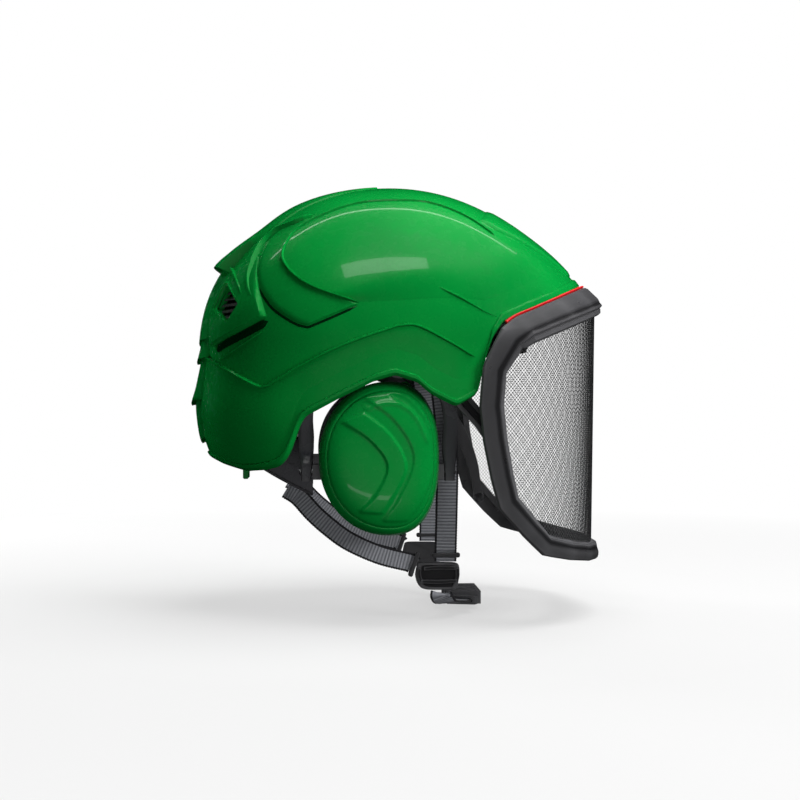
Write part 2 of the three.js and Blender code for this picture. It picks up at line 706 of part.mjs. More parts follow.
function muffLever() {
  const [low, high] = LEVER_LAYER;
  const half = 6.7;
  const x = [MUFF.leverX - half, MUFF.leverX + half];
  const hub = barY(MUFF.leverX, MUFF.leverZ, 10, low, high, 28);
  const stem = box(x, [low, high], [MUFF.hingeZ, MUFF.leverZ]);
  const barrel = barX(MUFF.hingeY, MUFF.hingeZ, 3.8, x[0], x[1]);
  const bores = barX(MUFF.hingeY, MUFF.hingeZ, 2.1, -60, 10).add(barY(MUFF.leverX, MUFF.leverZ, 3.1, 90, 110));
  return hub.add(stem).add(barrel).subtract(bores);
}

const cupPin = (low, high) => barX(MUFF.pinY, MUFF.pinZ, 2, low, high);

addPair("muff_lever", muffLever(), BLACK_PLASTIC);
addPair("muff_hinge_pin", barX(MUFF.hingeY, MUFF.hingeZ, 1.8, -40.5, -11.5), STEEL);
addPair("muff_hoop", muffHoop(), BLACK_PLASTIC);
addPair("cup_pin_front", cupPin(17.8, 31.7), STEEL);
addPair("cup_pin_rear", cupPin(-71.1, -56.4), STEEL);
addPair("muff_cup", muffCup(), DARK_GREEN);
addPair("muff_foam", cupLoft([[98, 0.9], [103.4, 0.9]], -3.5, 24), FOAM);
addPair("muff_plate", muffPlate(), BLACK_PLASTIC);
addPair("muff_cushion", muffCushion(), CUSHION_SKIN);

// ---------------------------------------------------------------- nape cradle and its knob

function napeCradle() {
  const low = (share) => -34 - dip(share);
  const high = (share) => -6 - dip(share) * 0.75;
  const cup = ovalStrip(NAPE, 2, 3, low, high, 118, 242, 26);
  return [1, -1].reduce((whole, side) => whole.add(napeRiser(side)), cup);
}

// An upright arm on each side lifts the cradle to the ends of the headband.
function napeRiser(side) {
  const [lowX, lowY] = ovalPoint(NAPE, 142, 2.8);
  const [highX, highY] = ovalPoint(HEAD, 134, 7.6);
  const route = [[lowX, lowY, -25], [lowX, lowY, -12], [highX, highY, 14], [highX, highY, 40]].map(([x, y, z]) =>
    v3(x, y * side, z),
  );
  const outward = route.map((p) => v3(p.x - HEAD.crownX, p.y, 0).normalize());
  return band(route, outward, 10, 2.4);
}

function napePad() {
  const low = (share) => -30 - dip(share) * 0.85;
  const high = (share) => -8 - dip(share) * 0.6;
  return ovalStrip(NAPE, 5 + GAP, 6, low, high, 122, 238, 22);
}

function knobHousing() {
  const outline = roundedShape([[-22, -13], [22, -13], [22, 13], [-22, 13]], 9);
  const body = new THREE.ExtrudeGeometry(outline, { depth: 8, bevelEnabled: false, curveSegments: 4 });
  body.rotateX(Math.PI / 2).rotateZ(Math.PI / 2).translate(KNOB.x, 0, KNOB.z);
  const cradleFace = ovalStrip(NAPE, 2 - GAP, 30, () => -80, () => 40, 110, 250, 40);
  return solidFrom(body).subtract(cradleFace).subtract(barX(0, KNOB.z, 4.3, -130, -100));
}

// The knob is fluted; its spindle ends in the pinion that winds the cradle in.
function napeKnob() {
  const flutes = 16;
  const steps = flutes * 4;
  const outline = Array.from({ length: steps }, (_, i) => {
    const turn = (i / steps) * 2 * Math.PI;
    const radius = KNOB.radius - 0.7 + 0.7 * Math.cos(flutes * turn);
    return new THREE.Vector2(radius * Math.cos(turn), radius * Math.sin(turn));
  });
  const geometry = new THREE.ExtrudeGeometry(new THREE.Shape(outline), {
    depth: KNOB.depth - 2,
    bevelThickness: 1,
    bevelSize: 1,
    bevelOffset: -1,
    bevelSegments: 1,
  });
  return solidFrom(geometry.rotateY(-Math.PI / 2).translate(KNOB.x - GAP - 1, 0, KNOB.z));
}

add("nape_cradle", napeCradle(), BLACK_PLASTIC);
add("nape_pad", napePad(), PAD_FABRIC);
add("knob_housing", knobHousing(), BLACK_PLASTIC);
add("nape_knob", napeKnob(), BLACK_PLASTIC);
add("knob_pinion", barX(0, KNOB.z, 3.9, KNOB.x + GAP, KNOB.x + 4.4, 18), STEEL);

// ---------------------------------------------------------------- straps and buckle

const BUCKLE = { x: 44, z: -139.5, half: 12, thickness: 9, end: 21, split: 4 };

function strap(list, width, steps = 4) {
  const route = stations(list, steps);
  const centres = route.map((p) => v3(p.x, p.y, p.z));
  const normals = route.map((p) => v3(0, p.outY ?? 1, p.outZ ?? 0).normalize());
  return band(centres, normals, width, STRAP_THICKNESS);
}

const FRONT_ROUTE = [
  { x: 18, y: 82.6, z: 44.6 }, { x: 19, y: 81.9, z: 31 }, { x: 21, y: 79.5, z: 21 }, { x: 25, y: 78.2, z: -10 },
  { x: 27, y: 75.5, z: -38 },
  { x: 27, y: 71.5, z: -70 }, { x: 26.5, y: 67, z: -108.5 },
];
const REAR_ROUTE = [
  { x: -73, y: 62, z: -73 }, { x: -60, y: 66, z: -79 }, { x: -38, y: 70, z: -91 },
  { x: -18, y: 70, z: -101 }, { x: 2, y: 67.5, z: -108.5 }, { x: 4.8, y: 67.2, z: -110.5 },
];
const CHIN_ROUTE = [
  { x: 24, y: 67.2, z: -129.6, outY: 1, outZ: 0 }, { x: 24, y: 66.8, z: -132, outY: 1, outZ: -0.2 },
  { x: 28, y: 58, z: -137, outY: 0.35, outZ: -0.9 },
  { x: 36.5, y: 44, z: -138.8, outY: 0.15, outZ: -1 }, { x: 43, y: 30, z: -139.4, outY: 0, outZ: -1 },
  { x: 44, y: 21.3, z: -139.5, outY: 0, outZ: -1 },
];

function strapDivider() {
  const plate = sidePrism([[5.6, -127.6], [36, -127.6], [36, -108.8], [5.6, -108.8]], 64.6, 69.8, 5, 4);
  return plate.subtract(box([14, 33], [60, 75], [-116.5, -114]));
}

function buckleSocket() {
  const { x, z, half, thickness, end, split } = BUCKLE;
  const body = box([x - half, x + half], [-end, split], [z - thickness / 2, z + thickness / 2]);
  const cavity = box([x - 8, x + 8], [-14, split + 1], [z - 2.2, z + 2.2]);
  const sideWindows = box([x - half - 1, x + half + 1], [-12, -5], [z - 2.2, z + 2.2]);
  return body.subtract(cavity).subtract(sideWindows);
}

function bucklePlug() {
  const { x, z, half, thickness, end, split } = BUCKLE;
  const head = box([x - half, x + half], [split + GAP, end], [z - thickness / 2, z + thickness / 2]);
  const prongs = [-1, 1].map((side) => {
    const reach = [x + side * 3, x + side * 7.6].sort((a, b) => a - b);
    return box(reach, [-12, split + 1], [z - 1.9, z + 1.9]);
  });
  return head.add(prongs[0]).add(prongs[1]);
}

function strapKeeper() {
  const near = stations(CHIN_ROUTE, 4).slice(14, 17);
  const centres = near.map((p) => v3(p.x, p.y, p.z));
  const normals = near.map((p) => v3(0, p.outY, p.outZ).normalize());
  const longer = centres.map((p, i) => p.clone().addScaledVector(centres[2].clone().sub(centres[0]), (i - 1) * 0.2));
  return band(centres, normals, STRAP_WIDTH + 5, 5.6).subtract(band(longer, normals, STRAP_WIDTH + 1, 2.6));
}

addPair("front_strap", strap(FRONT_ROUTE, STRAP_WIDTH), WEBBING);
addPair("rear_strap", strap(REAR_ROUTE, STRAP_WIDTH - 2), WEBBING);
addPair("strap_divider", strapDivider(), BLACK_PLASTIC);
addPair("chin_strap", strap(CHIN_ROUTE, STRAP_WIDTH), WEBBING);
add("buckle_socket", buckleSocket(), BLACK_PLASTIC);
add("buckle_plug", bucklePlug(), BLACK_PLASTIC);
add("strap_keeper", strapKeeper(), BLACK_PLASTIC, rightSide);

export default helmet;
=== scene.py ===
# The arborist helmet's looks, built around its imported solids.
import json
import math

import bmesh
import bpy
import numpy as np
from mathutils import Matrix, Vector

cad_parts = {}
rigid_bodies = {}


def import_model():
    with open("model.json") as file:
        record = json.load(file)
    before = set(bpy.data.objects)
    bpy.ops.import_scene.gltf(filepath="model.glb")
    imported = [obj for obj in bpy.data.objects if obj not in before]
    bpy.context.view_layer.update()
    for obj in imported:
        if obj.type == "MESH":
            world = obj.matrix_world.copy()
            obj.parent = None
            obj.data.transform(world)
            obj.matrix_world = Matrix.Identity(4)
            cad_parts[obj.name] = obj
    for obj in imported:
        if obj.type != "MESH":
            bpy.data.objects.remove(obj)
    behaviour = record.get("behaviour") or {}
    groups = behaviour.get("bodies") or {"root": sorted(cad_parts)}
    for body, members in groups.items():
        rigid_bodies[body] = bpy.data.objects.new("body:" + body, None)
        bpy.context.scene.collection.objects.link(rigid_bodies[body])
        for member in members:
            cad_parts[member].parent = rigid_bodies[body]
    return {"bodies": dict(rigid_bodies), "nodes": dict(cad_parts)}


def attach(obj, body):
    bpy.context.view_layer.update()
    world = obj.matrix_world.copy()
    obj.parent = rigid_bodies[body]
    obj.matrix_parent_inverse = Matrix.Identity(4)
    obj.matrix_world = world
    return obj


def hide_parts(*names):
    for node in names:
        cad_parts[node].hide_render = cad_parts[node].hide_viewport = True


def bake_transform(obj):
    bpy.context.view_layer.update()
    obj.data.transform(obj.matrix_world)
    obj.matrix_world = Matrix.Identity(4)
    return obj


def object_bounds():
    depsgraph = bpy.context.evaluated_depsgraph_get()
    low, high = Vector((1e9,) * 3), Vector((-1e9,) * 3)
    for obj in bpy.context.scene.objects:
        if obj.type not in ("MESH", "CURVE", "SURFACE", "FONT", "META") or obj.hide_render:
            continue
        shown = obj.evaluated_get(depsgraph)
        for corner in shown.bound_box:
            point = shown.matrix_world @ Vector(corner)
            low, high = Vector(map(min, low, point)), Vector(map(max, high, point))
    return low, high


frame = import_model()
CAD_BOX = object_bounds()
NODES = frame["nodes"]

# ---------------------------------------------------------------- measures, as in the CAD part
# Millimetres. Heights are measured from the ear line, and at() lowers them to the row's own zero.

MM = 0.001
SEAT = 110.0  # the row's zero height is this far above the ear line
TAU = 2 * math.pi

SHELL = {
    "crown": -7, "waist": 38, "rise": 113, "skirt": 98, "round": 2.25,
    "front": [(0, 128), (30, 128), (45, 132), (60, 140), (75, 147), (90, 151), (180, 151)],
    "rear": [(0, 144), (15, 144), (27, 139), (43, 131), (67, 131), (90, 130), (116, 132),
             (128, 134), (145, 133), (153, 131), (162, 126), (180, 104)],
    "half": [(0, 113), (90, 113), (116, 113), (153, 109), (180, 104)],
}
COVER = dict(SHELL, rise=114, front=[(0, 127), (30, 127), (180, 127)],
             rear=[(0, 147), (15, 147), (27, 143), (43, 135), (55, 141), (60, 144), (180, 144)])
HEAD = {
    "crown": -9, "waist": 28, "rise": 93, "skirt": 90, "round": 2.3,
    "front": [(0, 104), (180, 104)], "rear": [(0, 103), (90, 106), (180, 100)],
    "half": [(0, 85), (180, 85)],
}
NAPE = dict(HEAD, half=[(0, 75), (180, 75)])
SHELL_EDGE = [
    (-170, -34), (-140, -37), (-124, -43), (-108, -46.5), (-94, -45), (-84, -42), (-78.5, -35),
    (-72, -16), (-68, -9.6), (-45, 2.6), (-23, 13.4), (-10, 17), (4.5, 12.5), (13, 5), (29.5, -3.2),
    (44, 4.5), (46, 20), (52, 38), (60, 50), (100, 67), (124, 79), (145, 85), (200, 85),
]
VISOR = {"side": 40, "reach": 103, "half": 115.5, "round": 2.3, "lean": 0.015, "top": 60}


# ---------------------------------------------------------------- curves and surfaces

def read(table, key):
    """Smooth reading of a table of (key, value) pairs."""
    xs, ys = np.array(table, float).T
    order = np.arange(len(xs))
    before, after = np.maximum(order - 1, 0), np.minimum(order + 1, len(xs) - 1)
    slope = (ys[after] - ys[before]) / (xs[after] - xs[before])
    key = np.clip(key, xs[0], xs[-1])
    i = np.clip(np.searchsorted(xs, key, side="right") - 1, 0, len(xs) - 2)
    span = xs[i + 1] - xs[i]
    t = (key - xs[i]) / span
    ease = t * t * (3 - 2 * t)
    rise = span * (slope[i] * t * (1 - t) ** 2 - slope[i + 1] * t * t * (1 - t))
    return ys[i] * (1 - ease) + ys[i + 1] * ease + rise


def power(value, exponent):
    return np.sign(value) * np.abs(value) ** exponent


def step(low, high, value):
    """0 below low, 1 above high, smooth between."""
    t = np.clip((value - low) / (high - low), 0, 1)
    return t * t * (3 - 2 * t)


def dome_point(dome, angle, turn, inset=0.0):
    """A point of a dome: angle down from the crown and turn round from the front, both in degrees."""
    angle, turn = np.broadcast_arrays(np.asarray(angle, float), np.asarray(turn, float))
    sine = np.where(angle < 90, np.sin(np.radians(angle)), 1.0)
    above = dome["waist"] + (dome["rise"] - inset) * np.cos(np.radians(angle))
    z = np.where(angle < 90, above, dome["waist"] - dome["skirt"] * (angle - 90) / 90)
    square = 2 / (2 + (dome["round"] - 2) * sine)
    cosine, side = np.cos(np.radians(turn)), np.sin(np.radians(turn))
    reach = np.where(cosine > 0, read(dome["front"], angle), read(dome["rear"], angle)) - inset
    half = read(dome["half"], angle) - inset
    x = dome["crown"] + power(cosine, square) * reach * sine
    return np.stack([x, half * sine * power(side, square), z], -1)


def dome_excess(dome, p, inset):
    """Below zero inside the dome, above zero outside it."""
    z = p[..., 2]
    ratio = np.clip((z - dome["waist"]) / (dome["rise"] - inset), 0, 0.99999)
    angle = np.where(z > dome["waist"], np.degrees(np.arccos(ratio)),
                     90 + (dome["waist"] - z) * 90 / dome["skirt"])
    sine = np.where(angle < 90, np.sin(np.radians(angle)), 1.0)
    ahead = p[..., 0] - dome["crown"]
    reach = (np.where(ahead > 0, read(dome["front"], angle), read(dome["rear"], angle)) - inset) * sine
    half = (read(dome["half"], angle) - inset) * sine
    rounded = 2 + (dome["round"] - 2) * sine
    return np.abs(ahead / reach) ** rounded + np.abs(p[..., 1] / half) ** rounded - 1


def on_dome(dome, p, inset=0.0):
    """Moves points out or in from the dome's middle until they lie on it."""
    p = np.asarray(p, float)
    inset = np.broadcast_to(np.asarray(inset, float), p.shape[:-1])
    middle = np.zeros_like(p)
    middle[..., 0] = dome["crown"]
    middle[..., 2] = np.minimum(p[..., 2], dome["waist"])
    ray = p - middle
    low = np.zeros(p.shape[:-1])
    rise = dome["rise"] - inset
    high = np.where(ray[..., 2] > 1e-6, rise * 0.99999 / np.maximum(ray[..., 2], 1e-6), 4.0)
    high = np.minimum(high, 4.0)
    for _ in range(46):
        mid = (low + high) / 2
        outside = dome_excess(dome, middle + ray * mid[..., None], inset) > 0
        high = np.where(outside, mid, high)
        low = np.where(outside, low, mid)
    return middle + ray * low[..., None]


def dome_normal(dome, p, inset=0.0):
    reach = 0.4
    slopes = [dome_excess(dome, p + reach * axis, inset) - dome_excess(dome, p - reach * axis, inset)
              for axis in np.eye(3)]
    normal = np.stack(slopes, -1)
    return normal / np.linalg.norm(normal, axis=-1, keepdims=True)


def from_side(dome, xz, inset=0.0, side=1):
    """Puts side view points, (x, z), on the dome's flank."""
    xz = np.asarray(xz, float)
    low, high = np.zeros(xz.shape[:-1]), np.full(xz.shape[:-1], 160.0)
    for _ in range(40):
        mid = (low + high) / 2
        trial = np.stack([xz[..., 0], mid, xz[..., 1]], -1)
        outside = dome_excess(dome, trial, inset) > 0
        high = np.where(outside, mid, high)
        low = np.where(outside, low, mid)
    return np.stack([xz[..., 0], side * low, xz[..., 1]], -1)


def smooth_line(points, count, corners=()):
    """count points, evenly spread, along a smooth curve through the given ones, sharp at corners."""
    points = np.asarray(points, float)
    stops = [0, *corners, len(points) - 1]
    dense = []
    for first, last in zip(stops[:-1], stops[1:]):
        part = points[first:last + 1]
        padded = np.vstack([2 * part[0] - part[1], part, 2 * part[-1] - part[-2]])
        t = np.linspace(0, 1, 24, endpoint=False)[:, None]
        for p0, p1, p2, p3 in zip(padded, padded[1:], padded[2:], padded[3:]):
            dense.append(p1 + 0.5 * t * (p2 - p0 + t * (2 * p0 - 5 * p1 + 4 * p2 - p3
                                                       + t * (3 * (p1 - p2) + p3 - p0))))
    dense = np.vstack([*dense, points[-1:]])
    return spread(dense, count)


def spread(line, count):
    """The same line with count points, evenly spread along it."""
    steps = np.linalg.norm(np.diff(line, axis=0), axis=1)
    run = np.concatenate([[0], np.cumsum(steps)])
    wanted = np.linspace(0, run[-1], count)
    return np.stack([np.interp(wanted, run, line[:, k]) for k in range(line.shape[1])], -1)


# ---------------------------------------------------------------- mesh building

def grid_faces(rows, columns, wrap=False, start=0):
    """Four-sided faces between neighbouring points of a grid. wrap joins its last column to the first."""
    faces = []
    spans = columns if wrap else columns - 1
    for i in range(rows - 1):
        for j in range(spans):
            k = (j + 1) % columns
            faces.append((start + i * columns + j, start + i * columns + k,
                          start + (i + 1) * columns + k, start + (i + 1) * columns + j))
    return faces


def loft(rings, caps=True, loop=False):
    """A skin through rings of points, each ring closed. Returns points and faces."""
    rings = np.asarray(rings, float)
    count = rings.shape[1]
    points = rings.reshape(-1, 3)
    faces = grid_faces(len(rings) + (1 if loop else 0), count, wrap=True)
    if loop:
        faces = [tuple(i % len(points) for i in face) for face in faces]
    elif caps:
        faces.append(tuple(range(count))[::-1])
        faces.append(tuple(range(len(points) - count, len(points))))
    return points, faces


def joined(*parts):
    """Several (points, faces) pairs as one."""
    points, faces, start = [], [], 0
    for part_points, part_faces in parts:
        points.append(np.asarray(part_points, float))
        faces += [tuple(i + start for i in face) for face in part_faces]
        start += len(part_points)
    return np.vstack(points), faces


def mirrored(part):
    points, faces = part
    return points * [1, -1, 1], [tuple(reversed(face)) for face in faces]


def piece(name, part, look, body="helmet", slot=None, replaces=(), crease=38.0, bevel=0.0, fix=True):
    """Makes one object from (points, faces), in row metres, and gives it its body and material. slot is not
    used.
    """
    points, faces = part
    mesh = bpy.data.meshes.new(name)
    mesh.from_pydata(((np.asarray(points) - [0, 0, SEAT]) * MM).tolist(), [], faces)
    if fix:
        bm = bmesh.new()
        bm.from_mesh(mesh)
        bmesh.ops.remove_doubles(bm, verts=bm.verts, dist=1e-6)
        bmesh.ops.recalc_face_normals(bm, faces=bm.faces)
        bm.to_mesh(mesh)
        bm.free()
    obj = bpy.data.objects.new(name, mesh)
    bpy.context.scene.collection.objects.link(obj)
    finish_piece(obj, look, body, replaces, crease, bevel)
    return obj


def finish_piece(obj, look, body, replaces, crease=38.0, bevel=0.0):
    obj.data.materials.clear()
    obj.data.materials.append(look)
    if bevel:
        soften(obj, bevel)
    obj.data.shade_smooth()
    obj.data.set_sharp_from_angle(angle=math.radians(crease))
    if body:
        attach(obj, body)
    if replaces:
        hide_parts(*replaces)


def soften(obj, width, segments=2):
    """Rounds an object's hard edges, in millimetres."""
    bevel = obj.modifiers.new("soften", "BEVEL")
    bevel.width = width * MM
    bevel.segments = segments
    bevel.limit_method = "ANGLE"
    bevel.angle_limit = math.radians(32)
    bevel.harden_normals = False


def pair(name, part, look, body, slot=None, replaces=(), **more):
    """The same piece on both of the wearer's sides. part is modelled for the left, with y above zero."""
    made = []
    for side, shape in (("right", mirrored(part)), ("left", part)):
        here = body if body in frame["bodies"] else f"{body}_{side}"
        nodes = [f"{node}_{side}" for node in replaces]
        made.append(piece(f"{name}_{side}", shape, look, here, slot, nodes, **more))
    return made


def panel(dome, top, bottom, height, bevel=1.4, fade=0.0, columns=60, rows=8, ends=(1, 1), under=None,
          sunk=0.5):
    """A raised patch between two lines on a dome, its rim falling away below the surface.

    top and bottom are matching lines of points. fade makes the bottom rim that wide and soft, not crisp.
    ends says whether the patch also falls away at its first and last column.
    under is a dome that the rim drops to.
    """
    top, bottom = (spread(np.asarray(line, float), 4 * columns) for line in (top, bottom))
    run = np.concatenate([[0], np.cumsum(np.linalg.norm(np.diff((top + bottom) / 2, axis=0), axis=1))])
    rim = np.array([0.0, 0.35, 1.0]) * bevel
    length = run[-1]
    places = np.concatenate([rim, np.linspace(bevel * 2, length - bevel * 2, columns), length - rim[::-1]])
    top, bottom = (np.stack([np.interp(places, run, line[:, k]) for k in range(3)], -1) for line in (top,
                                                                                                     bottom))
    across = np.linalg.norm(top - bottom, axis=1)
    share = np.array([np.minimum(d / np.maximum(across, 1e-3), 0.25 * k) for k, d in enumerate(rim)])
    inner = np.linspace(0, 1, rows)[1:-1, None] * (1 - 2 * share[-1]) + share[-1]
    v = np.vstack([share, inner, 1 - share[::-1]])
    points = top * (1 - v[..., None]) + bottom * v[..., None]

    def rise_from(distance):
        return np.interp(distance, [0, 0.35 * bevel, bevel], [-sunk, 0.55 * height, height])

    lift = rise_from(v * across)
    near = (1 - v) * across
    soft = height * step(0, max(fade, 1e-3), near) - 0.25 * (1 - step(0, 2, near))
    lift = np.minimum(lift, soft if fade else rise_from(near))
    if ends[0]:
        lift = np.minimum(lift, rise_from(places))
    if ends[1]:
        lift = np.minimum(lift, rise_from(length - places))
    over = on_dome(dome, points, -lift)
    if under:
        low = on_dome(under, points, sunk + 0.3)
        over = np.where((lift <= -sunk + 1e-6)[..., None], low, over)
    return over.reshape(-1, 3), grid_faces(len(v), len(places))


def welt(dome, line, width, height, count=80, taper=6.0, sunk=0.6):
    """A low ridge that runs along a line on a dome and thins out at both ends."""
    line = on_dome(dome, spread(np.asarray(line), count))
    ahead = np.gradient(line, axis=0)
    ahead /= np.linalg.norm(ahead, axis=1, keepdims=True)
    out = dome_normal(dome, line)
    across = np.cross(out, ahead)
    run = np.concatenate([[0], np.cumsum(np.linalg.norm(np.diff(line, axis=0), axis=1))])
    thin = np.minimum(1, np.minimum(run, run[-1] - run) / max(taper, 1e-3) + 0.05)
    section = [(-0.5, -sunk), (-0.42, 0.35), (-0.16, 1), (0.16, 1), (0.42, 0.35), (0.5, -sunk)]
    rings = np.stack([line + across * (a * width * thin)[:, None]
                      + out * (b * height * thin if b > 0 else np.full(count, b))[:, None]
                      for a, b in section], 1)
    return loft(rings)


# ---------------------------------------------------------------- materials

class Look:
    """A material under construction, with short calls for the nodes it needs."""

    def __init__(self, name, colour, roughness, **sockets):
        self.material = bpy.data.materials.new(name)
        self.material.use_nodes = True
        self.nodes = self.material.node_tree.nodes
        self.links = self.material.node_tree.links
        self.shader = self.nodes["Principled BSDF"]
        self.shader.inputs["Base Color"].default_value = (*colour, 1)
        self.shader.inputs["Roughness"].default_value = roughness
        for socket, value in sockets.items():
            self.shader.inputs[socket.replace("_", " ")].default_value = value
        self.place = self.nodes.new("ShaderNodeTexCoord").outputs["Object"]
        self.uv = None
        self.normal = None

    def add(self, kind, inputs=(), **settings):
        node = self.nodes.new(kind)
        for key, value in settings.items():
            setattr(node, key, value)
        for key, value in dict(inputs).items():
            if isinstance(value, bpy.types.NodeSocket):
                self.links.new(value, node.inputs[key])
            else:
                node.inputs[key].default_value = value
        return node

    def noise(self, scale, detail=3.0, roughness=0.5, at=None):
        inputs = {"Vector": at or self.place, "Scale": scale, "Detail": detail, "Roughness": roughness}
        return self.add("ShaderNodeTexNoise", inputs).outputs["Fac"]

    def cells(self, scale, at=None, feature="F1"):
        inputs = {"Vector": at or self.place, "Scale": scale}
        return self.add("ShaderNodeTexVoronoi", inputs, feature=feature).outputs["Distance"]

    def ramp(self, value, low, high, out_low=0.0, out_high=1.0):
        inputs = {"Value": value, "From Min": low, "From Max": high, "To Min": out_low, "To Max": out_high}
        return self.add("ShaderNodeMapRange", inputs).outputs["Result"]

    def sum(self, a, b, how="ADD"):
        return self.add("ShaderNodeMath", {0: a, 1: b}, operation=how).outputs[0]

    def blend(self, factor, dark, light):
        """Between two colours by a factor."""
        node = self.add("ShaderNodeMix", {"Factor": factor}, data_type="RGBA")
        for socket, colour in ((node.inputs[6], dark), (node.inputs[7], light)):
            if isinstance(colour, bpy.types.NodeSocket):
                self.links.new(colour, socket)
            else:
                socket.default_value = (*colour, 1)
        return node.outputs[2]

    def colour(self, socket):
        self.links.new(socket, self.shader.inputs["Base Color"])

    def rough(self, value, low, high):
        self.links.new(self.ramp(value, 0.3, 0.7, low, high), self.shader.inputs["Roughness"])

    def bump(self, height, strength, depth_mm):
        inputs = {"Height": height, "Strength": strength, "Distance": depth_mm * MM}
        if self.normal:
            inputs["Normal"] = self.normal
        self.normal = self.add("ShaderNodeBump", inputs).outputs["Normal"]
        self.links.new(self.normal, self.shader.inputs["Normal"])

    def wave(self, scale, axis="X", at=None, profile="SIN"):
        inputs = {"Vector": at or self.place, "Scale": scale}
        node = self.add("ShaderNodeTexWave", inputs, wave_type="BANDS", bands_direction=axis,
                        wave_profile=profile)
        return node.outputs["Fac"]

    def edges(self, low=0.51, high=0.56):
        """Where a surface is sharply convex, as on a worn edge."""
        point = self.add("ShaderNodeNewGeometry").outputs["Pointiness"]
        return self.ramp(point, low, high)


def shell_look(name, deep, light):
    """Moulded glossy plastic: a clear skin with faint orange peel, fine scuffs and a change of tone."""
    look = Look(name, light, 0.3, Coat_Weight=0.5, Coat_Roughness=0.03, Specular_IOR_Level=0.25)
    tone = look.noise(9, 2)
    look.colour(look.blend(look.ramp(tone, 0.35, 0.65), deep, light))
    look.rough(look.noise(140, 4), 0.2, 0.32)
    look.bump(look.noise(260, 2), 0.05, 0.25)
    return look.material


def plastic_look(name, colour, low, high, grain=2600, worn=(0.09, 0.09, 0.095)):
    """Satin moulded plastic with a spark-eroded grain and slightly polished edges."""
    look = Look(name, colour, (low + high) / 2, Specular_IOR_Level=0.5)
    look.rough(look.noise(70, 4), low, high)
    look.colour(look.blend(look.edges(), colour, worn))
    look.bump(look.cells(grain), 0.12, 0.12)
    look.bump(look.noise(500, 3), 0.06, 0.15)
    return look.material


def metal_look(name, colour, low, high, stretch=(1, 1, 40)):
    """Brushed metal: streaks along one direction."""
    look = Look(name, colour, low, Metallic=1.0)
    streaks = look.add("ShaderNodeMapping", {"Vector": look.place, "Scale": stretch}).outputs["Vector"]
    fine = look.noise(300, 3, at=streaks)
    look.rough(fine, low, high)
    look.bump(fine, 0.08, 0.05)
    return look.material


GREEN = shell_look("green_gloss", (0.001, 0.2, 0.028), (0.002, 0.26, 0.036))
CUP_GREEN = shell_look("cup_green_gloss", (0.001, 0.2, 0.03), (0.002, 0.25, 0.036))
BLACK = plastic_look("black_plastic", (0.012, 0.012, 0.013), 0.34, 0.5)
STEEL = metal_look("brushed_steel", (0.5, 0.5, 0.52), 0.25, 0.42)


# ---------------------------------------------------------------- shell

def edge_height(x):
    """The height of the shell's lower edge at each x, its corners a little rounded."""
    xs = np.arange(-170, 200, 1.0)
    heights = np.interp(xs, *np.array(SHELL_EDGE, float).T)
    for _ in range(4):
        heights[1:-1] = (heights[:-2] + 2 * heights[1:-1] + heights[2:]) / 4
    return np.interp(x, xs, heights)


def shell_columns(count):
    """Columns of the shell, spread along its lower edge: how far round each is and how far down it runs."""
    turns = np.linspace(0, 180, 1400)
    low, high = np.full(turns.shape, 20.0), np.full(turns.shape, 178.0)
    for _ in range(40):
        mid = (low + high) / 2
        p = dome_point(SHELL, mid, turns)
        above = p[:, 2] > edge_height(p[:, 0])
        low, high = np.where(above, mid, low), np.where(above, high, mid)
    line = dome_point(SHELL, low, turns)
    run = np.concatenate([[0], np.cumsum(np.linalg.norm(np.diff(line, axis=0), axis=1))])
    wanted = np.linspace(0, run[-1], count)
    return np.interp(wanted, run, turns), np.interp(wanted, run, low)


LIP = {"width": 5.2, "proud": 1.5}


def shell_body():
    """The shell's outer skin with a proud lip along its edge, its rounded rim, and its inner skin."""
    turns, ends = shell_columns(230)
    turns = np.concatenate([turns, 360 - turns[-2:0:-1]])
    ends = np.concatenate([ends, ends[-2:0:-1]])
    count = len(turns)
    degree = 1.75  # about this many millimetres to a degree near the edge
    margin = np.array([9.0, 7.2, 6.2, 5.7, 5.3, 4.9, 4.4, 3.6, 2.4, 1.2, 0.5, 0.0])
    upper = np.linspace(0, 1, 84)[:-1, None] ** 0.9 * (ends - margin[0] / degree - 0.5) + 0.5
    levels = np.vstack([upper, ends - margin[:, None] / degree])
    gap = (ends - levels) * degree
    proud = LIP["proud"] * (1 - step(LIP["width"] - 0.6, LIP["width"] + 0.6, gap)) * step(-0.6, 1.4, gap)
    outer = dome_point(SHELL, levels, turns, -proud)
    inner_share = np.linspace(1, 0, 30)[:, None]
    inner = dome_point(SHELL, 0.5 + (ends - 0.5) * inner_share, turns, 3.5)
    rim = []
    for lean in (0.2, 0.5, 0.8):
        ring = outer[-1] * (1 - lean) + inner[0] * lean
        ring[:, 2] -= 1.1 * math.sin(math.pi * lean)
        rim.append(ring)
    rows = np.concatenate([outer, np.array(rim), inner])
    points = rows.reshape(-1, 3)
    faces = grid_faces(len(rows), count, wrap=True)
    faces.append(tuple(range(count))[::-1])
    faces.append(tuple(range(len(points) - count, len(points))))
    return points, faces


def box_part(low, high):
    corners = [(x, y, z) for x in (low[0], high[0]) for y in (low[1], high[1]) for z in (low[2], high[2])]
    faces = [(0, 1, 3, 2), (4, 6, 7, 5), (0, 4, 5, 1), (2, 3, 7, 6), (0, 2, 6, 4), (1, 5, 7, 3)]
    return np.array(corners, float), faces


def lozenge(grow=0.0):
    """The outline of a rear air opening on the left flank, and the direction out of it."""
    flat = np.array([(-118.5, 78), (-109, 63), (-117, 50), (-126.5, 62)], float)
    flat = flat.mean(0) + (flat - flat.mean(0)) * (1 + grow)
    line = from_side(SHELL, flat)
    return line, dome_normal(SHELL, line.mean(0)[None])[0]


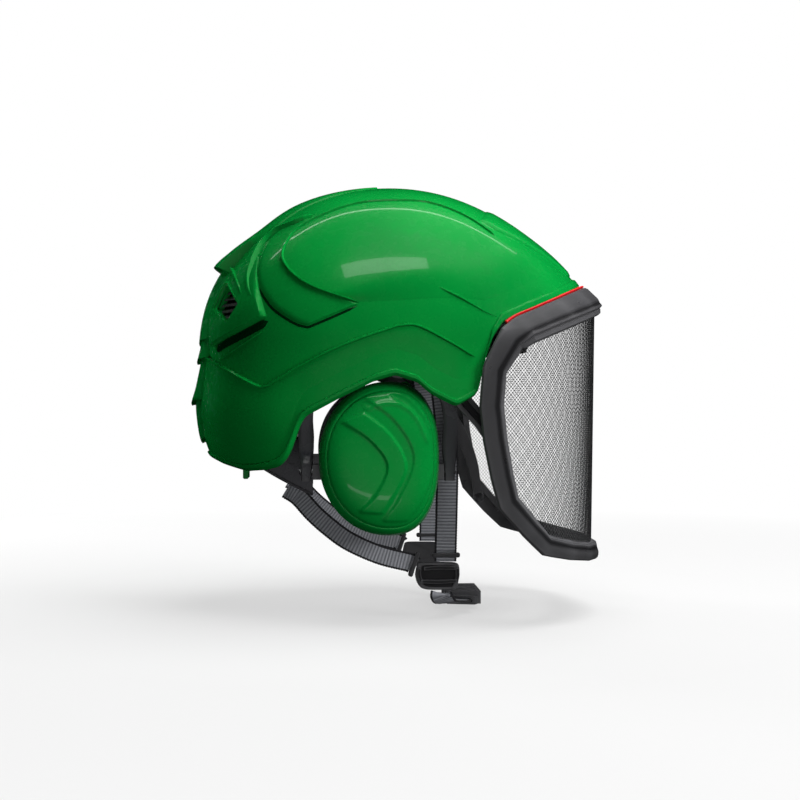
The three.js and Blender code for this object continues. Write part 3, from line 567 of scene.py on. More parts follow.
def cut_vents(obj):
    """Cuts the four rear air openings through the shell."""
    cutters = []
    outline, out = lozenge()
    high = loft([outline - out * 9, outline + out * 9])
    for side in (1, -1):
        cutters.append(high if side > 0 else mirrored(high))
        ys = sorted((24 * side, 40 * side))
        cutters.append(box_part((-170, ys[0], 8), (-90, ys[1], 30)))
    points, faces = joined(*cutters)
    mesh = bpy.data.meshes.new("vent_cutter")
    mesh.from_pydata(((points - [0, 0, SEAT]) * MM).tolist(), [], faces)
    bm = bmesh.new()
    bm.from_mesh(mesh)
    bmesh.ops.recalc_face_normals(bm, faces=bm.faces)
    bm.to_mesh(mesh)
    bm.free()
    cutter = bpy.data.objects.new("vent_cutter", mesh)
    bpy.context.scene.collection.objects.link(cutter)
    rounded = cutter.modifiers.new("round", "BEVEL")
    rounded.width = 1.5 * MM
    rounded.segments = 3
    cut = obj.modifiers.new("vents", "BOOLEAN")
    cut.operation = "DIFFERENCE"
    cut.object = cutter
    settle(obj)
    bpy.data.objects.remove(cutter)


def settle(obj):
    """Applies an object's modifiers to its mesh."""
    graph = bpy.context.evaluated_depsgraph_get()
    graph.update()
    mesh = bpy.data.meshes.new_from_object(obj.evaluated_get(graph))
    obj.modifiers.clear()
    obj.data = mesh


def flank(points, count=60, corners=(), dome=SHELL):
    """A smooth line on the shell's left flank through side view points."""
    return from_side(dome, smooth_line(points, count, corners))


# Outlines of the relief on the shell's flanks, in side view.
OVAL_UPPER = [(-33, 62.5), (-55, 70), (-68, 76.5), (-76, 83.5), (-80.5, 90), (-81.5, 96), (-79.5, 102.5),
              (-74, 111), (-64.5, 118), (-46, 126.5), (-28, 131.5), (-3.5, 133), (17, 131.5), (40, 122),
              (62, 106), (77, 95), (92.5, 82)]
OVAL_LOWER = [(-33, 62.5), (-10, 63), (19, 64), (40, 63.5), (50, 62.5), (62.5, 67.5), (92.5, 82)]
CRESCENT_OUTER = [(-70, 121), (-82, 117.5), (-91.5, 109), (-97, 97.5), (-99, 86), (-97, 74.5),
                  (-91.5, 65.5),
                  (-85, 58.5), (-73, 50.5), (-65.5, 48)]
CRESCENT_INNER = [(-58, 123), (-64, 112), (-68, 104), (-70, 96), (-68, 88), (-62, 80), (-50, 70),
                  (-33, 61.5)]
CRESCENT_TIP = (-33, 61.5)
RIB = [(-60, 126), (-71, 120.5), (-87.5, 114), (-97.5, 104), (-103, 90), (-104.5, 78.5), (-101, 67),
       (-93, 55.5)]
SCALE_EDGE = [(-93, 54.5), (-108.5, 47), (-121, 41.5), (-129.5, 37)]
STEP_LINE = [(-138, 30.5), (-124, 23), (-109, 14.5), (-97.5, 8.8), (-92, 8.8), (-72, 21), (-51.5, 31.5),
             (-32, 39.5),
             (-8, 47.5), (4.5, 47.5), (24, 38), (42, 27.5)]
FINE_LINE = [(-126, 26.5), (-110, 36), (-94, 45.5)]
BROW_LINE = [(-2, 79), (13, 75), (32, 66.5), (49, 57), (58.5, 53.5)]


def lower_band():
    """The proud band below the step line. Its lower side dies away into the shell."""
    upper = smooth_line(STEP_LINE, 150, corners=[3, 4, 8])
    lower_x = np.interp(np.linspace(0, 1, 150), [0, 1], [upper[0, 0], upper[-1, 0]])
    lower = np.stack([lower_x + 1.5, edge_height(lower_x) + 14.0], -1)
    lower[:, 1] = np.minimum(lower[:, 1], upper[:, 1] - 3.0)
    return panel(SHELL, from_side(SHELL, upper), from_side(SHELL, lower), 1.5, bevel=1.5, fade=24,
                 columns=150, ends=(0, 0))


def rear_scale():
    """The scale behind the rib: flush at its top, standing off the shell at its lower edge."""
    lower = flank(SCALE_EDGE, 30)
    upper = np.array(from_side(SHELL, smooth_line([(-99, 96), (-108, 94), (-116, 90), (-124, 84)], 30)))
    return panel(SHELL, lower, upper, 3.0, bevel=1.2, fade=46, columns=30, rows=14, ends=(1, 0))


def add_flanks():
    oval = panel(SHELL, flank(OVAL_UPPER, 160), flank(OVAL_LOWER, 160, [4]), 2.0, bevel=1.3, fade=30,
                 columns=130, rows=26, ends=(0, 0))
    crescent = panel(SHELL, flank(CRESCENT_OUTER + [(-50, 54.5), CRESCENT_TIP], 90, [9]),
                     flank(CRESCENT_INNER, 90), 1.0, bevel=1.2, columns=80, rows=10, ends=(1, 0))
    pair("upper_panel", oval, GREEN, "helmet", "shell_green")
    pair("crescent_panel", crescent, GREEN, "helmet", "shell_green")
    pair("lower_band", lower_band(), GREEN, "helmet", "shell_green")
    for scale in pair("rear_scale", rear_scale(), GREEN, "helmet", "shell_green"):
        thick = scale.modifiers.new("thick", "SOLIDIFY")
        thick.thickness = 1.6 * MM
        thick.offset = 0
        settle(scale)
        cut_vents(scale)
        scale.data.shade_smooth()
        scale.data.set_sharp_from_angle(angle=math.radians(38))
    # A thin near-black strip along the crescent's outer edge: painted shade for the groove between rib and
    # crescent.
    groove = welt(SHELL, flank([(-100.5, 84), (-98.5, 74.5), (-93, 65), (-86.5, 57.5), (-74, 49.2), (-65.5,
                                                                                                     46.6),
                                (-50, 53), (-34, 60.2)], 90, [5]), 2.0, 0.22, 90, 6)
    pair("crescent_groove_painted_shade", groove, GREEN_PAINTED_SHADE, "helmet", "shell_green")
    rim = np.vstack([lozenge(0.12)[0], lozenge(0.12)[0][:1]])
    ridges = [welt(SHELL, flank(RIB, 110), 5.0, 3.4, 110, 10),
              welt(SHELL, flank(OVAL_UPPER[:15], 150), 2.6, 3.2, 150, 8),
              welt(SHELL, flank(STEP_LINE, 170, [4, 5, 8]), 2.6, 2.5, 170, 4),
              welt(SHELL, flank(FINE_LINE, 40), 1.4, 0.9, 40, 5),
              welt(SHELL, flank(BROW_LINE, 60), 2.6, 1.1, 60, 30),
              welt(SHELL, flank([(-117, 90), (-112, 80), (-107, 68)], 30), 1.3, 3.4, 30, 3),
              welt(SHELL, spread(rim, 60), 1.3, 3.5, 60, 0.1)]
    under = welt(SHELL, flank([(x + 1.5, z - 3.2) for x, z in SCALE_EDGE], 40), 6.5, 0.5, 40, 4)
    pair("scale_shadow_line", under, GREEN_PAINTED_SHADE, "helmet", "shell_green")
    pair("shell_ridges", joined(*ridges), GREEN, "helmet", "shell_green")


def front_ridge():
    """The broad raised middle of the brow, its sides cut as long facets."""
    xs = np.linspace(48, 118, 40)
    half = np.interp(xs, [48, 60, 118], [58, 62, 44])
    lines = []
    for side in (1, -1):
        rough = np.stack([xs, half * side, np.interp(xs, [48, 118], [118, 86])], -1)
        lines.append(on_dome(SHELL, rough))
    return panel(SHELL, lines[0], lines[1], 1.6, bevel=5.0, columns=50, rows=30, ends=(1, 1))


def crown_cover():
    """The long cover along the crown, which ends behind as a ledge over the louvres."""
    angles = np.linspace(3.5, 61.5, 70)
    middle = dome_point(COVER, angles, 180.0)
    half = np.interp(middle[:, 0], [-134, -110, -60, -13], [40, 42, 33, 20])
    half *= np.interp(angles, [3.5, 9], [0.7, 1])
    lines = [on_dome(COVER, np.stack([middle[:, 0], side * half, middle[:, 2]], -1)) for side in (1, -1)]
    return panel(COVER, lines[0], lines[1], 0.0, bevel=4.0, columns=70, rows=24, under=SHELL, sunk=1.6)


def from_rear(dome, yz, inset=0.0):
    """Puts points seen from behind, (y, z), on the dome's back."""
    yz = np.asarray(yz, float)
    inset = np.broadcast_to(np.asarray(inset, float), yz.shape[:-1])
    low, high = np.full(yz.shape[:-1], dome["crown"] - 160.0), np.full(yz.shape[:-1], dome["crown"] - 1.0)
    for _ in range(40):
        mid = (low + high) / 2
        outside = dome_excess(dome, np.stack([mid, yz[..., 0], yz[..., 1]], -1), inset) > 0
        low = np.where(outside, mid, low)
        high = np.where(outside, high, mid)
    return np.stack([high, yz[..., 0], yz[..., 1]], -1)


def louvre(top, bottom, half_top, half_bottom, lift_top, lift_bottom, rows=12):
    """One plate of the rear spine, which stands off the shell more and more towards its lower edge."""
    share = np.concatenate([np.linspace(0, 1, rows), [1, 1]])
    drop = np.concatenate([np.zeros(rows), [0.55, 1.0]])  # the last two rows turn in under the lower edge
    columns = []
    for place, height in ((-1, -0.5), (-1, 0.05), (-0.74, 0.95), (-0.35, 1.0), (0, 1.0),
                          (0.35, 1.0), (0.74, 0.95), (1, 0.05), (1, -0.5)):
        half = half_top + (half_bottom - half_top) * share
        lift = (lift_top + (lift_bottom - lift_top) * share) * height
        lift = lift * (1 - drop) - 0.8 * drop
        z = top + (bottom - top) * share + 1.6 * drop + 5.0 * abs(place) * share
        columns.append(from_rear(SHELL, np.stack([half * place, z], -1), -lift))
    points = np.stack(columns, 1)
    return points.reshape(-1, 3), grid_faces(len(points), len(columns))


def rear_spine():
    plates = [louvre(94, 38, 24, 34, 3.5, 6.0), louvre(44, 25, 30, 33, 3.6, 7.0),
              louvre(29, -4, 27, 30, 4.0, 7.6),
              louvre(1, -31, 24, 22, 4.6, 3.2)]
    return joined(*plates)


def vent_grille():
    """Dark slats set in the shell's four rear air openings."""
    slats = []
    for y, z in (((40, 66), (48, 80)), ((24, 40), (8, 30))):
        for level in np.arange(z[0] + 2.5, z[1], 4.2):
            for side in (1, -1):
                line = np.array([(side * v, level) for v in np.linspace(y[0] - 1, y[1] + 1, 6)])
                front, back = from_rear(SHELL, line, 1.6), from_rear(SHELL, line + [0, 1.6], 3.2)
                rings = np.stack([front, front + [0, 0, 1.0], back + [0, 0, 1.0], back], 1)
                slats.append(loft(rings))
    return joined(*slats)


# Near-black green for thin strips laid where the crescent's groove and the scale's overhang fall into shade:
# painted shade.
GREEN_PAINTED_SHADE = shell_look("green_painted_groove_shade", (0.0, 0.018, 0.004), (0.001, 0.03, 0.006))
shell = piece("shell_body", shell_body(), GREEN, slot="shell_green", replaces=["outer_shell"])
cut_vents(shell)
shell.data.shade_smooth()
shell.data.set_sharp_from_angle(angle=math.radians(38))
add_flanks()
piece("brow_ridge", front_ridge(), GREEN, slot="shell_green")
piece("crown_cover", crown_cover(), GREEN, slot="shell_green", replaces=["crown_vent_cover"])
piece("spine_louvres", rear_spine(), GREEN, slot="shell_green", replaces=["rear_spine_cover"])
piece("vent_slats", vent_grille(), BLACK, slot="black_plastic")


def dress(names, look, bevel=0.0):
    """Gives carried-over CAD nodes their material."""
    for name in names:
        obj = NODES[name]
        obj.data.materials.clear()
        obj.data.materials.append(look)
        if bevel:
            soften(obj, bevel)


def both(*names):
    return [f"{name}_{side}" for name in names for side in ("right", "left")]


for node in NODES:
    if "headlamp" in node:
        dress([node], GREEN)
    elif node.startswith("muff_cup"):
        dress([node], CUP_GREEN)
    elif "pin" in node or "rivet" in node or node == "visor_mesh":
        dress([node], STEEL)
    else:
        dress([node], BLACK)


# ---------------------------------------------------------------- visor

VISOR_LINE = [  # x, z, lean of the bar back over the shell, its width, and how far it is drawn in
    (142.9, 72.9, 45, 18, 7), (142, 72.6, 45, 18, 7), (138, 71.2, 45, 18, 7), (126, 66.8, 45, 18, 6.8),
    (108, 60, 45, 18, 6.4), (90, 53.2, 44, 18, 5.6), (76, 47.9, 40, 18, 4.4), (65.5, 41, 14, 16, 3.0),
    (53.6, 20, 0, 14, 2.5), (51.5, -4, 0, 14, 2.5), (54, -26, 0, 14, 2.5), (58.8, -50, 0, 13.5, 2.5),
    (63.4, -67, 0, 13, 2.5), (79, -84.2, 0, 12.5, 2.5), (91, -95.8, 0, 12, 2.5),
    (110, -100.4, 0, 11, 2.5), (126, -103.6, 0, 10.5, 2.5), (136, -105, 0, 10.5, 2.5),
    (139.5, -105, 0, 10.5, 2.5), (140.4, -105, 0, 10.5, 2.5),
]
MESH_EDGE = [
    (-103.8, 140), (-103.4, 138.6), (-102.8, 136), (-98, 117), (-92, 95), (-86, 84), (-77, 76), (-66, 68),
    (-47, 62), (-10, 56.5), (14, 55), (22, 57), (32, 64), (38.5, 74), (45.5, 88), (50.5, 100), (60, 124),
    (64.6, 135), (66, 139.5), (66.5, 141.6),
]


def visor_reach(z):
    return VISOR["reach"] - VISOR["lean"] * (VISOR["top"] - z)


def visor_point(turn, z, inset):
    """A point of the visor's outer surface, drawn in by inset. turn is in radians from the front middle."""
    turn, z = np.broadcast_arrays(np.asarray(turn, float), np.asarray(z, float))
    square = 2 / VISOR["round"]
    x = VISOR["side"] + (visor_reach(z) - inset) * power(np.cos(turn), square)
    return np.stack([x, (VISOR["half"] - inset) * power(np.sin(turn), square), z], -1)


def visor_turn(x, z):
    ratio = np.clip((x - VISOR["side"]) / visor_reach(z), 0, 1)
    return np.arccos(ratio ** (VISOR["round"] / 2))


def visor_normal(p):
    square = 2 / VISOR["round"]
    side = power(p[:, 1] / VISOR["half"], 1 / square)
    ahead = power(np.maximum(0, p[:, 0] - VISOR["side"]) / VISOR["reach"], 1 / square)
    turn = np.arctan2(side, ahead)
    normal = np.stack([power(np.cos(turn), 2 - square) / VISOR["reach"],
                       power(np.sin(turn), 2 - square) / VISOR["half"], np.zeros(len(p))], -1)
    return normal / np.linalg.norm(normal, axis=1, keepdims=True)


def looped(stations, steps):
    """A closed run of straight stretches between stations, so that the bar keeps its sharp corners."""
    stations = np.asarray(stations, float)
    t = np.linspace(0, 1, steps, endpoint=False)[:, None]
    return np.vstack([a + (b - a) * t for a, b in zip(stations, np.roll(stations, -1, 0))])


def visor_hoop(steps):
    """The frame's middle line all round, with the directions across its bar and out of its face."""
    line = [(*row, 1) for row in VISOR_LINE] + [(*row, -1) for row in VISOR_LINE[-2:0:-1]]
    rows = []
    for x, z, lean, width, inset, side in line:
        p = visor_point(visor_turn(x, z), z, inset)
        rows.append((p[0], p[1] * side, p[2], lean, width))
    ring = looped(rows, steps)
    points, lean, width = ring[:, :3], ring[:, 3], ring[:, 4]
    before, after = (np.roll(points, k, 0) - points for k in (1, -1))
    along = (after / np.linalg.norm(after, axis=1, keepdims=True)
             - before / np.linalg.norm(before, axis=1, keepdims=True))
    along /= np.linalg.norm(along, axis=1, keepdims=True)
    across = np.cross(visor_normal(points), along)
    across /= np.linalg.norm(across, axis=1, keepdims=True)
    out = np.cross(along, across)
    turn = -np.radians(lean)[:, None]
    across, out = (across * np.cos(turn) + np.cross(along, across) * np.sin(turn),
                   out * np.cos(turn) + np.cross(along, out) * np.sin(turn))
    return points, across, out, width


def swept(frame_lines, section):
    """A closed bar along a hoop. section gives (across, out) pairs, whose arrays follow the hoop."""
    points, across, out, width = frame_lines
    rings = np.stack([points + across * np.broadcast_to(a, width.shape)[:, None]
                      + out * np.broadcast_to(b, width.shape)[:, None] for a, b in section(width / 2)], 1)
    return loft(rings, loop=True)


def visor_frame():
    """The bar has a flat face, a chamfer on each side of it, and a lip that holds the mesh."""
    def section(half):
        return [(-half + 0.5, -2.2), (half - 0.5, -2.2), (half, -1.7), (half, 0.5), (half - 0.8, 1.5),
                (half - 2.6, 2.2), (-half + 5.4, 2.3), (-half + 3.3, 1.5), (-half + 3.0, 1.3),
                (-half + 0.6, 1.1), (-half, 0.6), (-half, -1.7)]
    return swept(visor_hoop(3), section)


def frame_liner():
    """The step inside the frame that the mesh is clipped to."""
    return swept(visor_hoop(3), lambda half: [(-half - 2.6, -5.6), (-half + 2.0, -5.6), (-half + 2.0, -1.8),
                                              (-half - 0.6, -1.6), (-half - 2.6, -3.4)])


def edge_seal():
    points, across, out, width = visor_hoop(3)
    start = int(np.argmax((points[:, 1] < 0) & (points[:, 2] > 43)))
    turned = [np.roll(part, -start, 0) for part in (points, across, out, width)]
    keep = turned[0][:, 2] > 43
    points, across, out, width = (part[keep] for part in turned)
    section = [(0.3, -1.4), (1.2, -1.5), (2.0, -0.7), (2.1, 0.5), (1.5, 1.4), (0.7, 1.5), (0.3, 0.9)]
    rings = np.stack([points + across * (width / 2 + a)[:, None] + out * b for a, b in section], 1)
    return loft(rings)


WIRE = {"pitch": 1.45, "cell": 2.5, "width": 0.56, "depth": 0.24, "inset": 5.6}


def wire_mesh(low, high):
    """The etched mesh: strands that zigzag from side to side and meet the next strand at each turn."""
    pitch, cell = WIRE["pitch"], WIRE["cell"]
    edge_z, edge_x = np.array(MESH_EDGE, float).T
    parts = []
    for index in range(math.ceil((low - edge_z[0]) / pitch), math.ceil((high - edge_z[0]) / pitch)):
        z = edge_z[0] + index * pitch + 0.3
        if not edge_z[0] + 0.3 < z < edge_z[-1] - 0.3:
            continue
        reach = float(visor_turn(np.interp(z, edge_z, edge_x) - 0.4, z))
        turns = np.linspace(-reach, reach, 400)
        line = visor_point(turns, z, WIRE["inset"])
        run = np.concatenate([[0], np.cumsum(np.linalg.norm(np.diff(line, axis=0), axis=1))])
        half = run[-1] / 2
        turnings = np.arange(-math.floor(half / cell * 2), math.floor(half / cell * 2) + 1)
        if len(turnings) < 3:
            continue
        flat = cell * 0.12
        steps = np.stack([turnings * cell / 2 - flat, turnings * cell / 2 + flat], -1).ravel()
        turns = np.interp(steps + half, run, turns)
        zig = np.repeat(np.where((turnings + index) % 2 == 0, 1, -1), 2) * pitch * 0.48
        w, d = WIRE["width"] / 2, WIRE["depth"] / 2
        rings = np.stack([visor_point(turns, z + zig + a, WIRE["inset"] + b) for a,
                          b in ((w, -d), (-w, -d), (0, d))], 1)
        parts.append(loft(rings, caps=False))
    return joined(*parts)


def arm_route():
    return [(0, 33, 15), (14, 25, 13.5), (25, 12.5, 12), (36, -2, 11), (48, -16, 10), (57.5, -33, 9.5),
            (64, -51, 8.5), (67, -66, 7), (69, -77, 8)]


def plate_along(route, low, high, round_by=0.8, count=60, rib=0.0):
    """A flat bar in side view that follows (x, z, width) stations, with rounded edges and an optional rib."""
    stations = smooth_line(route, count)
    line, width = stations[:, :2], stations[:, 2]
    ahead = np.gradient(line, axis=0)
    ahead /= np.linalg.norm(ahead, axis=1, keepdims=True)
    side = np.stack([-ahead[:, 1], ahead[:, 0]], -1)
    r = round_by
    rings = []
    profile = [(-0.5, 0.0, low + r), (-0.5, r * 0.3, low + r * 0.3), (-0.5, r, low), (0.5, -r, low),
               (0.5, -r * 0.3, low + r * 0.3), (0.5, 0.0, low + r), (0.5, 0.0, high - r),
               (0.5, -r * 0.3, high - r * 0.3), (0.5, -r, high), (0.22, 0, high), (0.16, 0, high - rib),
               (-0.16, 0, high - rib), (-0.22, 0, high), (-0.5, r, high), (-0.5, r * 0.3, high - r * 0.3),
               (-0.5, 0.0, high - r)]
    for share, shift, y in profile:
        flat = line + side * (width * share + shift)[:, None]
        rings.append(np.stack([flat[:, 0], np.full(count, y), flat[:, 1]], -1))
    return loft(np.stack(rings, 1))


def turned_disc(x, z, profile, count=40, flutes=0, depth=0.0):
    """A round form about a line along Y. profile gives (y, radius) from its inner face to its outer face."""
    angles = np.linspace(0, TAU, count, endpoint=False)
    rings = []
    for y, radius in profile:
        r = radius + depth * (np.cos(flutes * angles) - 1) / 2 if radius > depth else np.full(count, radius)
        rings.append(np.stack([x + r * np.cos(angles), np.full(count, y), z + r * np.sin(angles)], -1))
    return loft(rings)


def visor_arm():
    arm = plate_along(arm_route(), 99.4, 102.6, rib=1.0)
    hub = turned_disc(0, 33, [(99.4, 3.1), (99.4, 9.0), (99.9, 9.5), (102.0, 9.5), (102.6, 8.9), (102.6,
                                                                                                  3.1)])
    foot = turned_disc(69, -77, [(99.5, 1.8), (99.5, 3.7), (99.9, 4.0), (104.1, 4.0), (104.1, 1.8)], 24)
    return joined(arm, hub, foot)


MESH_METAL = metal_look("etched_mesh_steel", (0.36, 0.365, 0.375), 0.3, 0.45)
MESH_METAL.node_tree.nodes["Principled BSDF"].inputs["Metallic"].default_value = 0.85
FRAME_BLACK = plastic_look("frame_black", (0.014, 0.014, 0.015), 0.26, 0.4)


def rubber_look(name, colour):
    look = Look(name, colour, 0.55, Specular_IOR_Level=0.4)
    look.rough(look.noise(200, 3), 0.45, 0.62)
    look.bump(look.noise(1400, 2), 0.1, 0.1)
    return look.material


RED = rubber_look("red_rubber", (0.55, 0.012, 0.014))

piece("visor_bar", visor_frame(), FRAME_BLACK, "visor", "black_plastic", ["visor_frame"], crease=24)
piece("visor_inner_step", frame_liner(), BLACK, "visor", "black_plastic", ["mesh_retainer"], crease=24)
piece("visor_seal", edge_seal(), RED, "visor", "seal_rubber", ["visor_edge_seal"])
middle = -19
piece("mesh_upper", wire_mesh(middle, 90), MESH_METAL, "visor", "wire_mesh", ["visor_mesh"], fix=False)
piece("mesh_lower", wire_mesh(-110, middle), MESH_METAL, "visor", "wire_mesh", fix=False)
pair("visor_side_arm", visor_arm(), BLACK, "visor", "black_plastic", ["visor_arm"])


# ---------------------------------------------------------------- ear muffs

MUFF = {"x": -13, "z": -38, "front": 32.4, "rear": 45.6, "half": 50}


def cup_ring(y, share, grow, count):
    """The cup's outline, fuller in front than behind, at a share of its size and grown all round."""
    turn = np.linspace(0, TAU, count, endpoint=False)
    ahead = np.cos(turn) > 0
    reach = np.where(ahead, MUFF["front"], MUFF["rear"])
    square = np.where(ahead, 2 / 2.4, 2 / 2.05)
    x = MUFF["x"] + (reach * share + grow) * power(np.cos(turn), square)
    z = MUFF["z"] + (MUFF["half"] * share + grow) * power(np.sin(turn), square)
    return np.stack([x, np.broadcast_to(y, x.shape), z], -1)


CUP_DOME = [(0.0, 114.0), (0.2, 113.95), (0.48, 113.2), (0.7, 111.3), (0.86, 107.9), (0.95, 103.5),
            (1.0, 98.0)]


def distance_to(line, p):
    """How far side view points are from a line through (x, z) points."""
    line = np.asarray(line, float)
    best = np.full(p.shape[:-1], 1e9)
    for a, b in zip(line[:-1], line[1:]):
        t = np.clip(((p - a) @ (b - a)) / ((b - a) @ (b - a)), 0, 1)
        best = np.minimum(best, np.linalg.norm(p - (a + t[..., None] * (b - a)), axis=-1))
    return best


def inside(outline, p):
    """True where side view points lie within an outline."""
    outline = np.asarray(outline, float)
    odd = np.zeros(p.shape[:-1], bool)
    for a, b in zip(outline, np.roll(outline, -1, 0)):
        crosses = (a[1] > p[..., 1]) != (b[1] > p[..., 1])
        rise = b[1] - a[1] if b[1] != a[1] else 1e-9
        odd ^= crosses & (p[..., 0] < a[0] + (p[..., 1] - a[1]) * (b[0] - a[0]) / rise)
    return odd


def cup_relief(p):
    """How far the cup's face stands off at side view points: bent bars, brow lines and a rolled edge."""
    outer = smooth_line([(-31, 2), (-10, -14), (2, -37), (-7, -62), (-18, -78), (-2, -78), (9, -62),
                         (16, -38),
                         (6, -12), (-14, 4)], 60, [4, 5])
    inner = smooth_line([(-44, -14), (-26, -26), (-15, -42), (-22, -60), (-33, -72), (-18, -73), (-9, -58),
                         (-3, -41), (-13, -22), (-30, -8)], 60, [4, 5])
    raised = np.zeros(p.shape[:-1])
    for outline, height in ((outer, 0.9), (inner, 1.2)):
        edge = distance_to(np.vstack([outline, outline[:1]]), p)
        signed = np.where(inside(outline, p), edge, -edge)
        raised += height * step(-1.2, 1.2, signed)
    for line, height in (([(-38, -2), (-22, 4.5), (-6, 4), (6, -6), (14, -20)], 0.9),
                         ([(-28, -6), (-16, -2), (-4, -4), (5, -13), (11, -26)], 0.7)):
        away = distance_to(smooth_line(line, 40), p)
        raised += height * np.exp(-(away / 1.7) ** 2)
    return raised


def cup_shell():
    """The cup's outer skin, its rim with a groove behind it, and its inner skin."""
    count = 220
    shares = np.concatenate([np.linspace(0.012, 0.93, 84), np.linspace(0.935, 1.0, 12)])
    rings = []
    for share in shares:
        y = read([(s, h) for s, h in CUP_DOME], share)
        ring = cup_ring(y, share, 0.0, count)
        ring[:, 1] += cup_relief(ring[:, [0, 2]]) * (1 - step(0.84, 0.92, share))
        ring[:, 1] -= 0.9 * math.exp(-((share - 0.885) / 0.012) ** 2)
        rings.append(ring)
    for y, grow in ((96.5, 0.0), (95.6, -0.2), (95.2, -0.9), (94.6, -0.9), (94.2, -0.2), (93.6, 0.0),
                    (92.6, 0.0),
                    (92.0, -0.6), (92.0, -2.6), (92.6, -3.0)):
        rings.append(cup_ring(y, 1.0, grow, count))
    for y, share in ((98, 0.99), (102.5, 0.93), (106.5, 0.82), (109.2, 0.62), (110.4, 0.3), (110.6, 0.03)):
        rings.append(cup_ring(y, share, -3.0 if share > 0.1 else 0.0, count))
    return loft(np.array(rings))


def hoop_line(count):
    """The hoop's middle line in side view, from the foot of its rear leg over the top to its front foot."""
    line = [(-47.1, -53), (-47.1, -30), (-47.0, -7), (-35.5, 14.2), (-20, 21.5), (20, 21.5), (35.5, 14.2),
            (47.0, -7), (47.1, -30), (47.1, -53)]
    line = smooth_line(line, count)
    return line + [-19.7, 0]


def muff_hoop():
    """The hoop that holds the cup: a broad flat bar with rounded edges, its legs fuller than its top."""
    count = 110
    line = hoop_line(count)
    ahead = np.gradient(line, axis=0)
    ahead /= np.linalg.norm(ahead, axis=1, keepdims=True)
    side = np.stack([-ahead[:, 1], ahead[:, 0]], -1)
    slim = step(-45, -55, line[:, 0]) * step(-44, -34, line[:, 1]) * (1 - step(8, 16, line[:, 1]))
    full = 1 + 0.5 * step(4, -12, line[:, 1]) * (1 - step(-30, -50, line[:, 1]))
    profile = [(-3.2, 83.2), (-2.4, 82.5), (2.4, 82.5), (3.2, 83.2), (3.4, 86.0), (3.3, 88.6), (2.7, 89.6),
               (1.6, 90.0), (-1.6, 90.0), (-2.7, 89.6), (-3.3, 88.6), (-3.4, 86.0)]
    rings = []
    for across, y in profile:
        flat = line + side * (across * full)[:, None]
        depth = np.where(y > 85.0, y - slim * 4.7, y)
        rings.append(np.stack([flat[:, 0], depth, flat[:, 1]], -1))
    return loft(np.stack(rings, 1))


def hoop_ears():
    parts = []
    for low, high in ((-40, -33.3), (-18.7, -12)):
        parts.append(box_part((low, 88, 20.5), (high, 96.3, 30)))
        angles = np.linspace(0, TAU, 28, endpoint=False)
        for x0, x1 in ((low, high),):
            rings = [np.stack([np.full(28, x), 97.1 + r * np.cos(angles), 30 + r * np.sin(angles)], -1)
                     for x, r in ((x0, 2.1), (x0, 3.4), (x0 + 0.4, 3.8), (x1 - 0.4, 3.8), (x1, 3.4), (x1,
                                                                                                      2.1))]
            parts.append(loft(rings))
    return joined(*parts)


def cushion_form(swell):
    """The ear cushion's ring, a little slimmer than its solid where it will be blown up."""
    count = 150
    outer = [(88.7, 0.96), (87.6, 0.99), (85.0, 1.0), (81.0, 1.0), (78.0, 0.985), (75.4, 0.94),
             (74.2, 0.86)]
    inner = [(74.2, 0.78), (75.2, 0.70), (77.5, 0.655), (82.0, 0.635), (88.7, 0.635)]
    rings = [cup_ring(y, share, -3 - swell, count) for y, share in outer]
    rings += [cup_ring(y, share, -3 + swell, count) for y, share in inner]
    return loft(rings, loop=True)


def leather_look(name, colour):
    """Soft coated skin: fine grain, long creases and a low sheen."""
    look = Look(name, colour, 0.5, Sheen_Weight=0.15, Sheen_Roughness=0.5)
    look.rough(look.noise(160, 4), 0.42, 0.6)
    look.bump(look.cells(1100), 0.25, 0.18)
    look.bump(look.noise(90, 3), 0.2, 0.5)
    return look.material


def foam_look(name, colour):
    look = Look(name, colour, 0.9)
    look.colour(look.blend(look.ramp(look.noise(40, 3), 0.3, 0.7), colour, tuple(c * 1.6 for c in colour)))
    look.bump(look.cells(520), 0.5, 0.5)
    return look.material


SKIN = leather_look("cushion_skin", (0.016, 0.016, 0.018))


def inflate(obj, pressure=4.0, voxel_mm=4.0, cap_mm=4.0, pinned=None):
    """Blows a cushion up as cloth for twenty frames, with every point kept within cap_mm of its start."""
    remesh = obj.modifiers.new("remesh", "REMESH")
    remesh.mode = "VOXEL"
    remesh.voxel_size = voxel_mm * MM
    settle(obj)
    start = np.array([v.co for v in obj.data.vertices])
    cloth = obj.modifiers.new("cloth", "CLOTH")
    cloth.settings.use_pressure = True
    cloth.settings.uniform_pressure_force = pressure
    cloth.settings.effector_weights.gravity = 0
    cloth.settings.quality = 5
    cloth.settings.tension_stiffness = 12
    cloth.settings.bending_stiffness = 0.4
    if pinned is not None:
        group = obj.vertex_groups.new(name="held")
        group.add([i for i, p in enumerate(start) if pinned(p)], 1.0, "REPLACE")
        cloth.settings.vertex_group_mass = "held"
    scene = bpy.context.scene
    scene.frame_start, scene.frame_end = 1, 20
    for number in range(1, 21):
        scene.frame_set(number)
    graph = bpy.context.evaluated_depsgraph_get()
    blown = np.array([v.co for v in obj.evaluated_get(graph).data.vertices])
    move = blown - start
    length = np.linalg.norm(move, axis=1, keepdims=True)
    move *= np.minimum(1, cap_mm * MM / np.maximum(length, 1e-9))
    obj.modifiers.clear()
    obj.data.vertices.foreach_set("co", (start + move).ravel())
    scene.frame_set(1)
    smooth = obj.modifiers.new("finer", "SUBSURF")
    smooth.levels = smooth.render_levels = 1
    settle(obj)
    obj.data.shade_smooth()


HOOP_GREY = plastic_look("hoop_grey", (0.07, 0.073, 0.083), 0.2, 0.32)


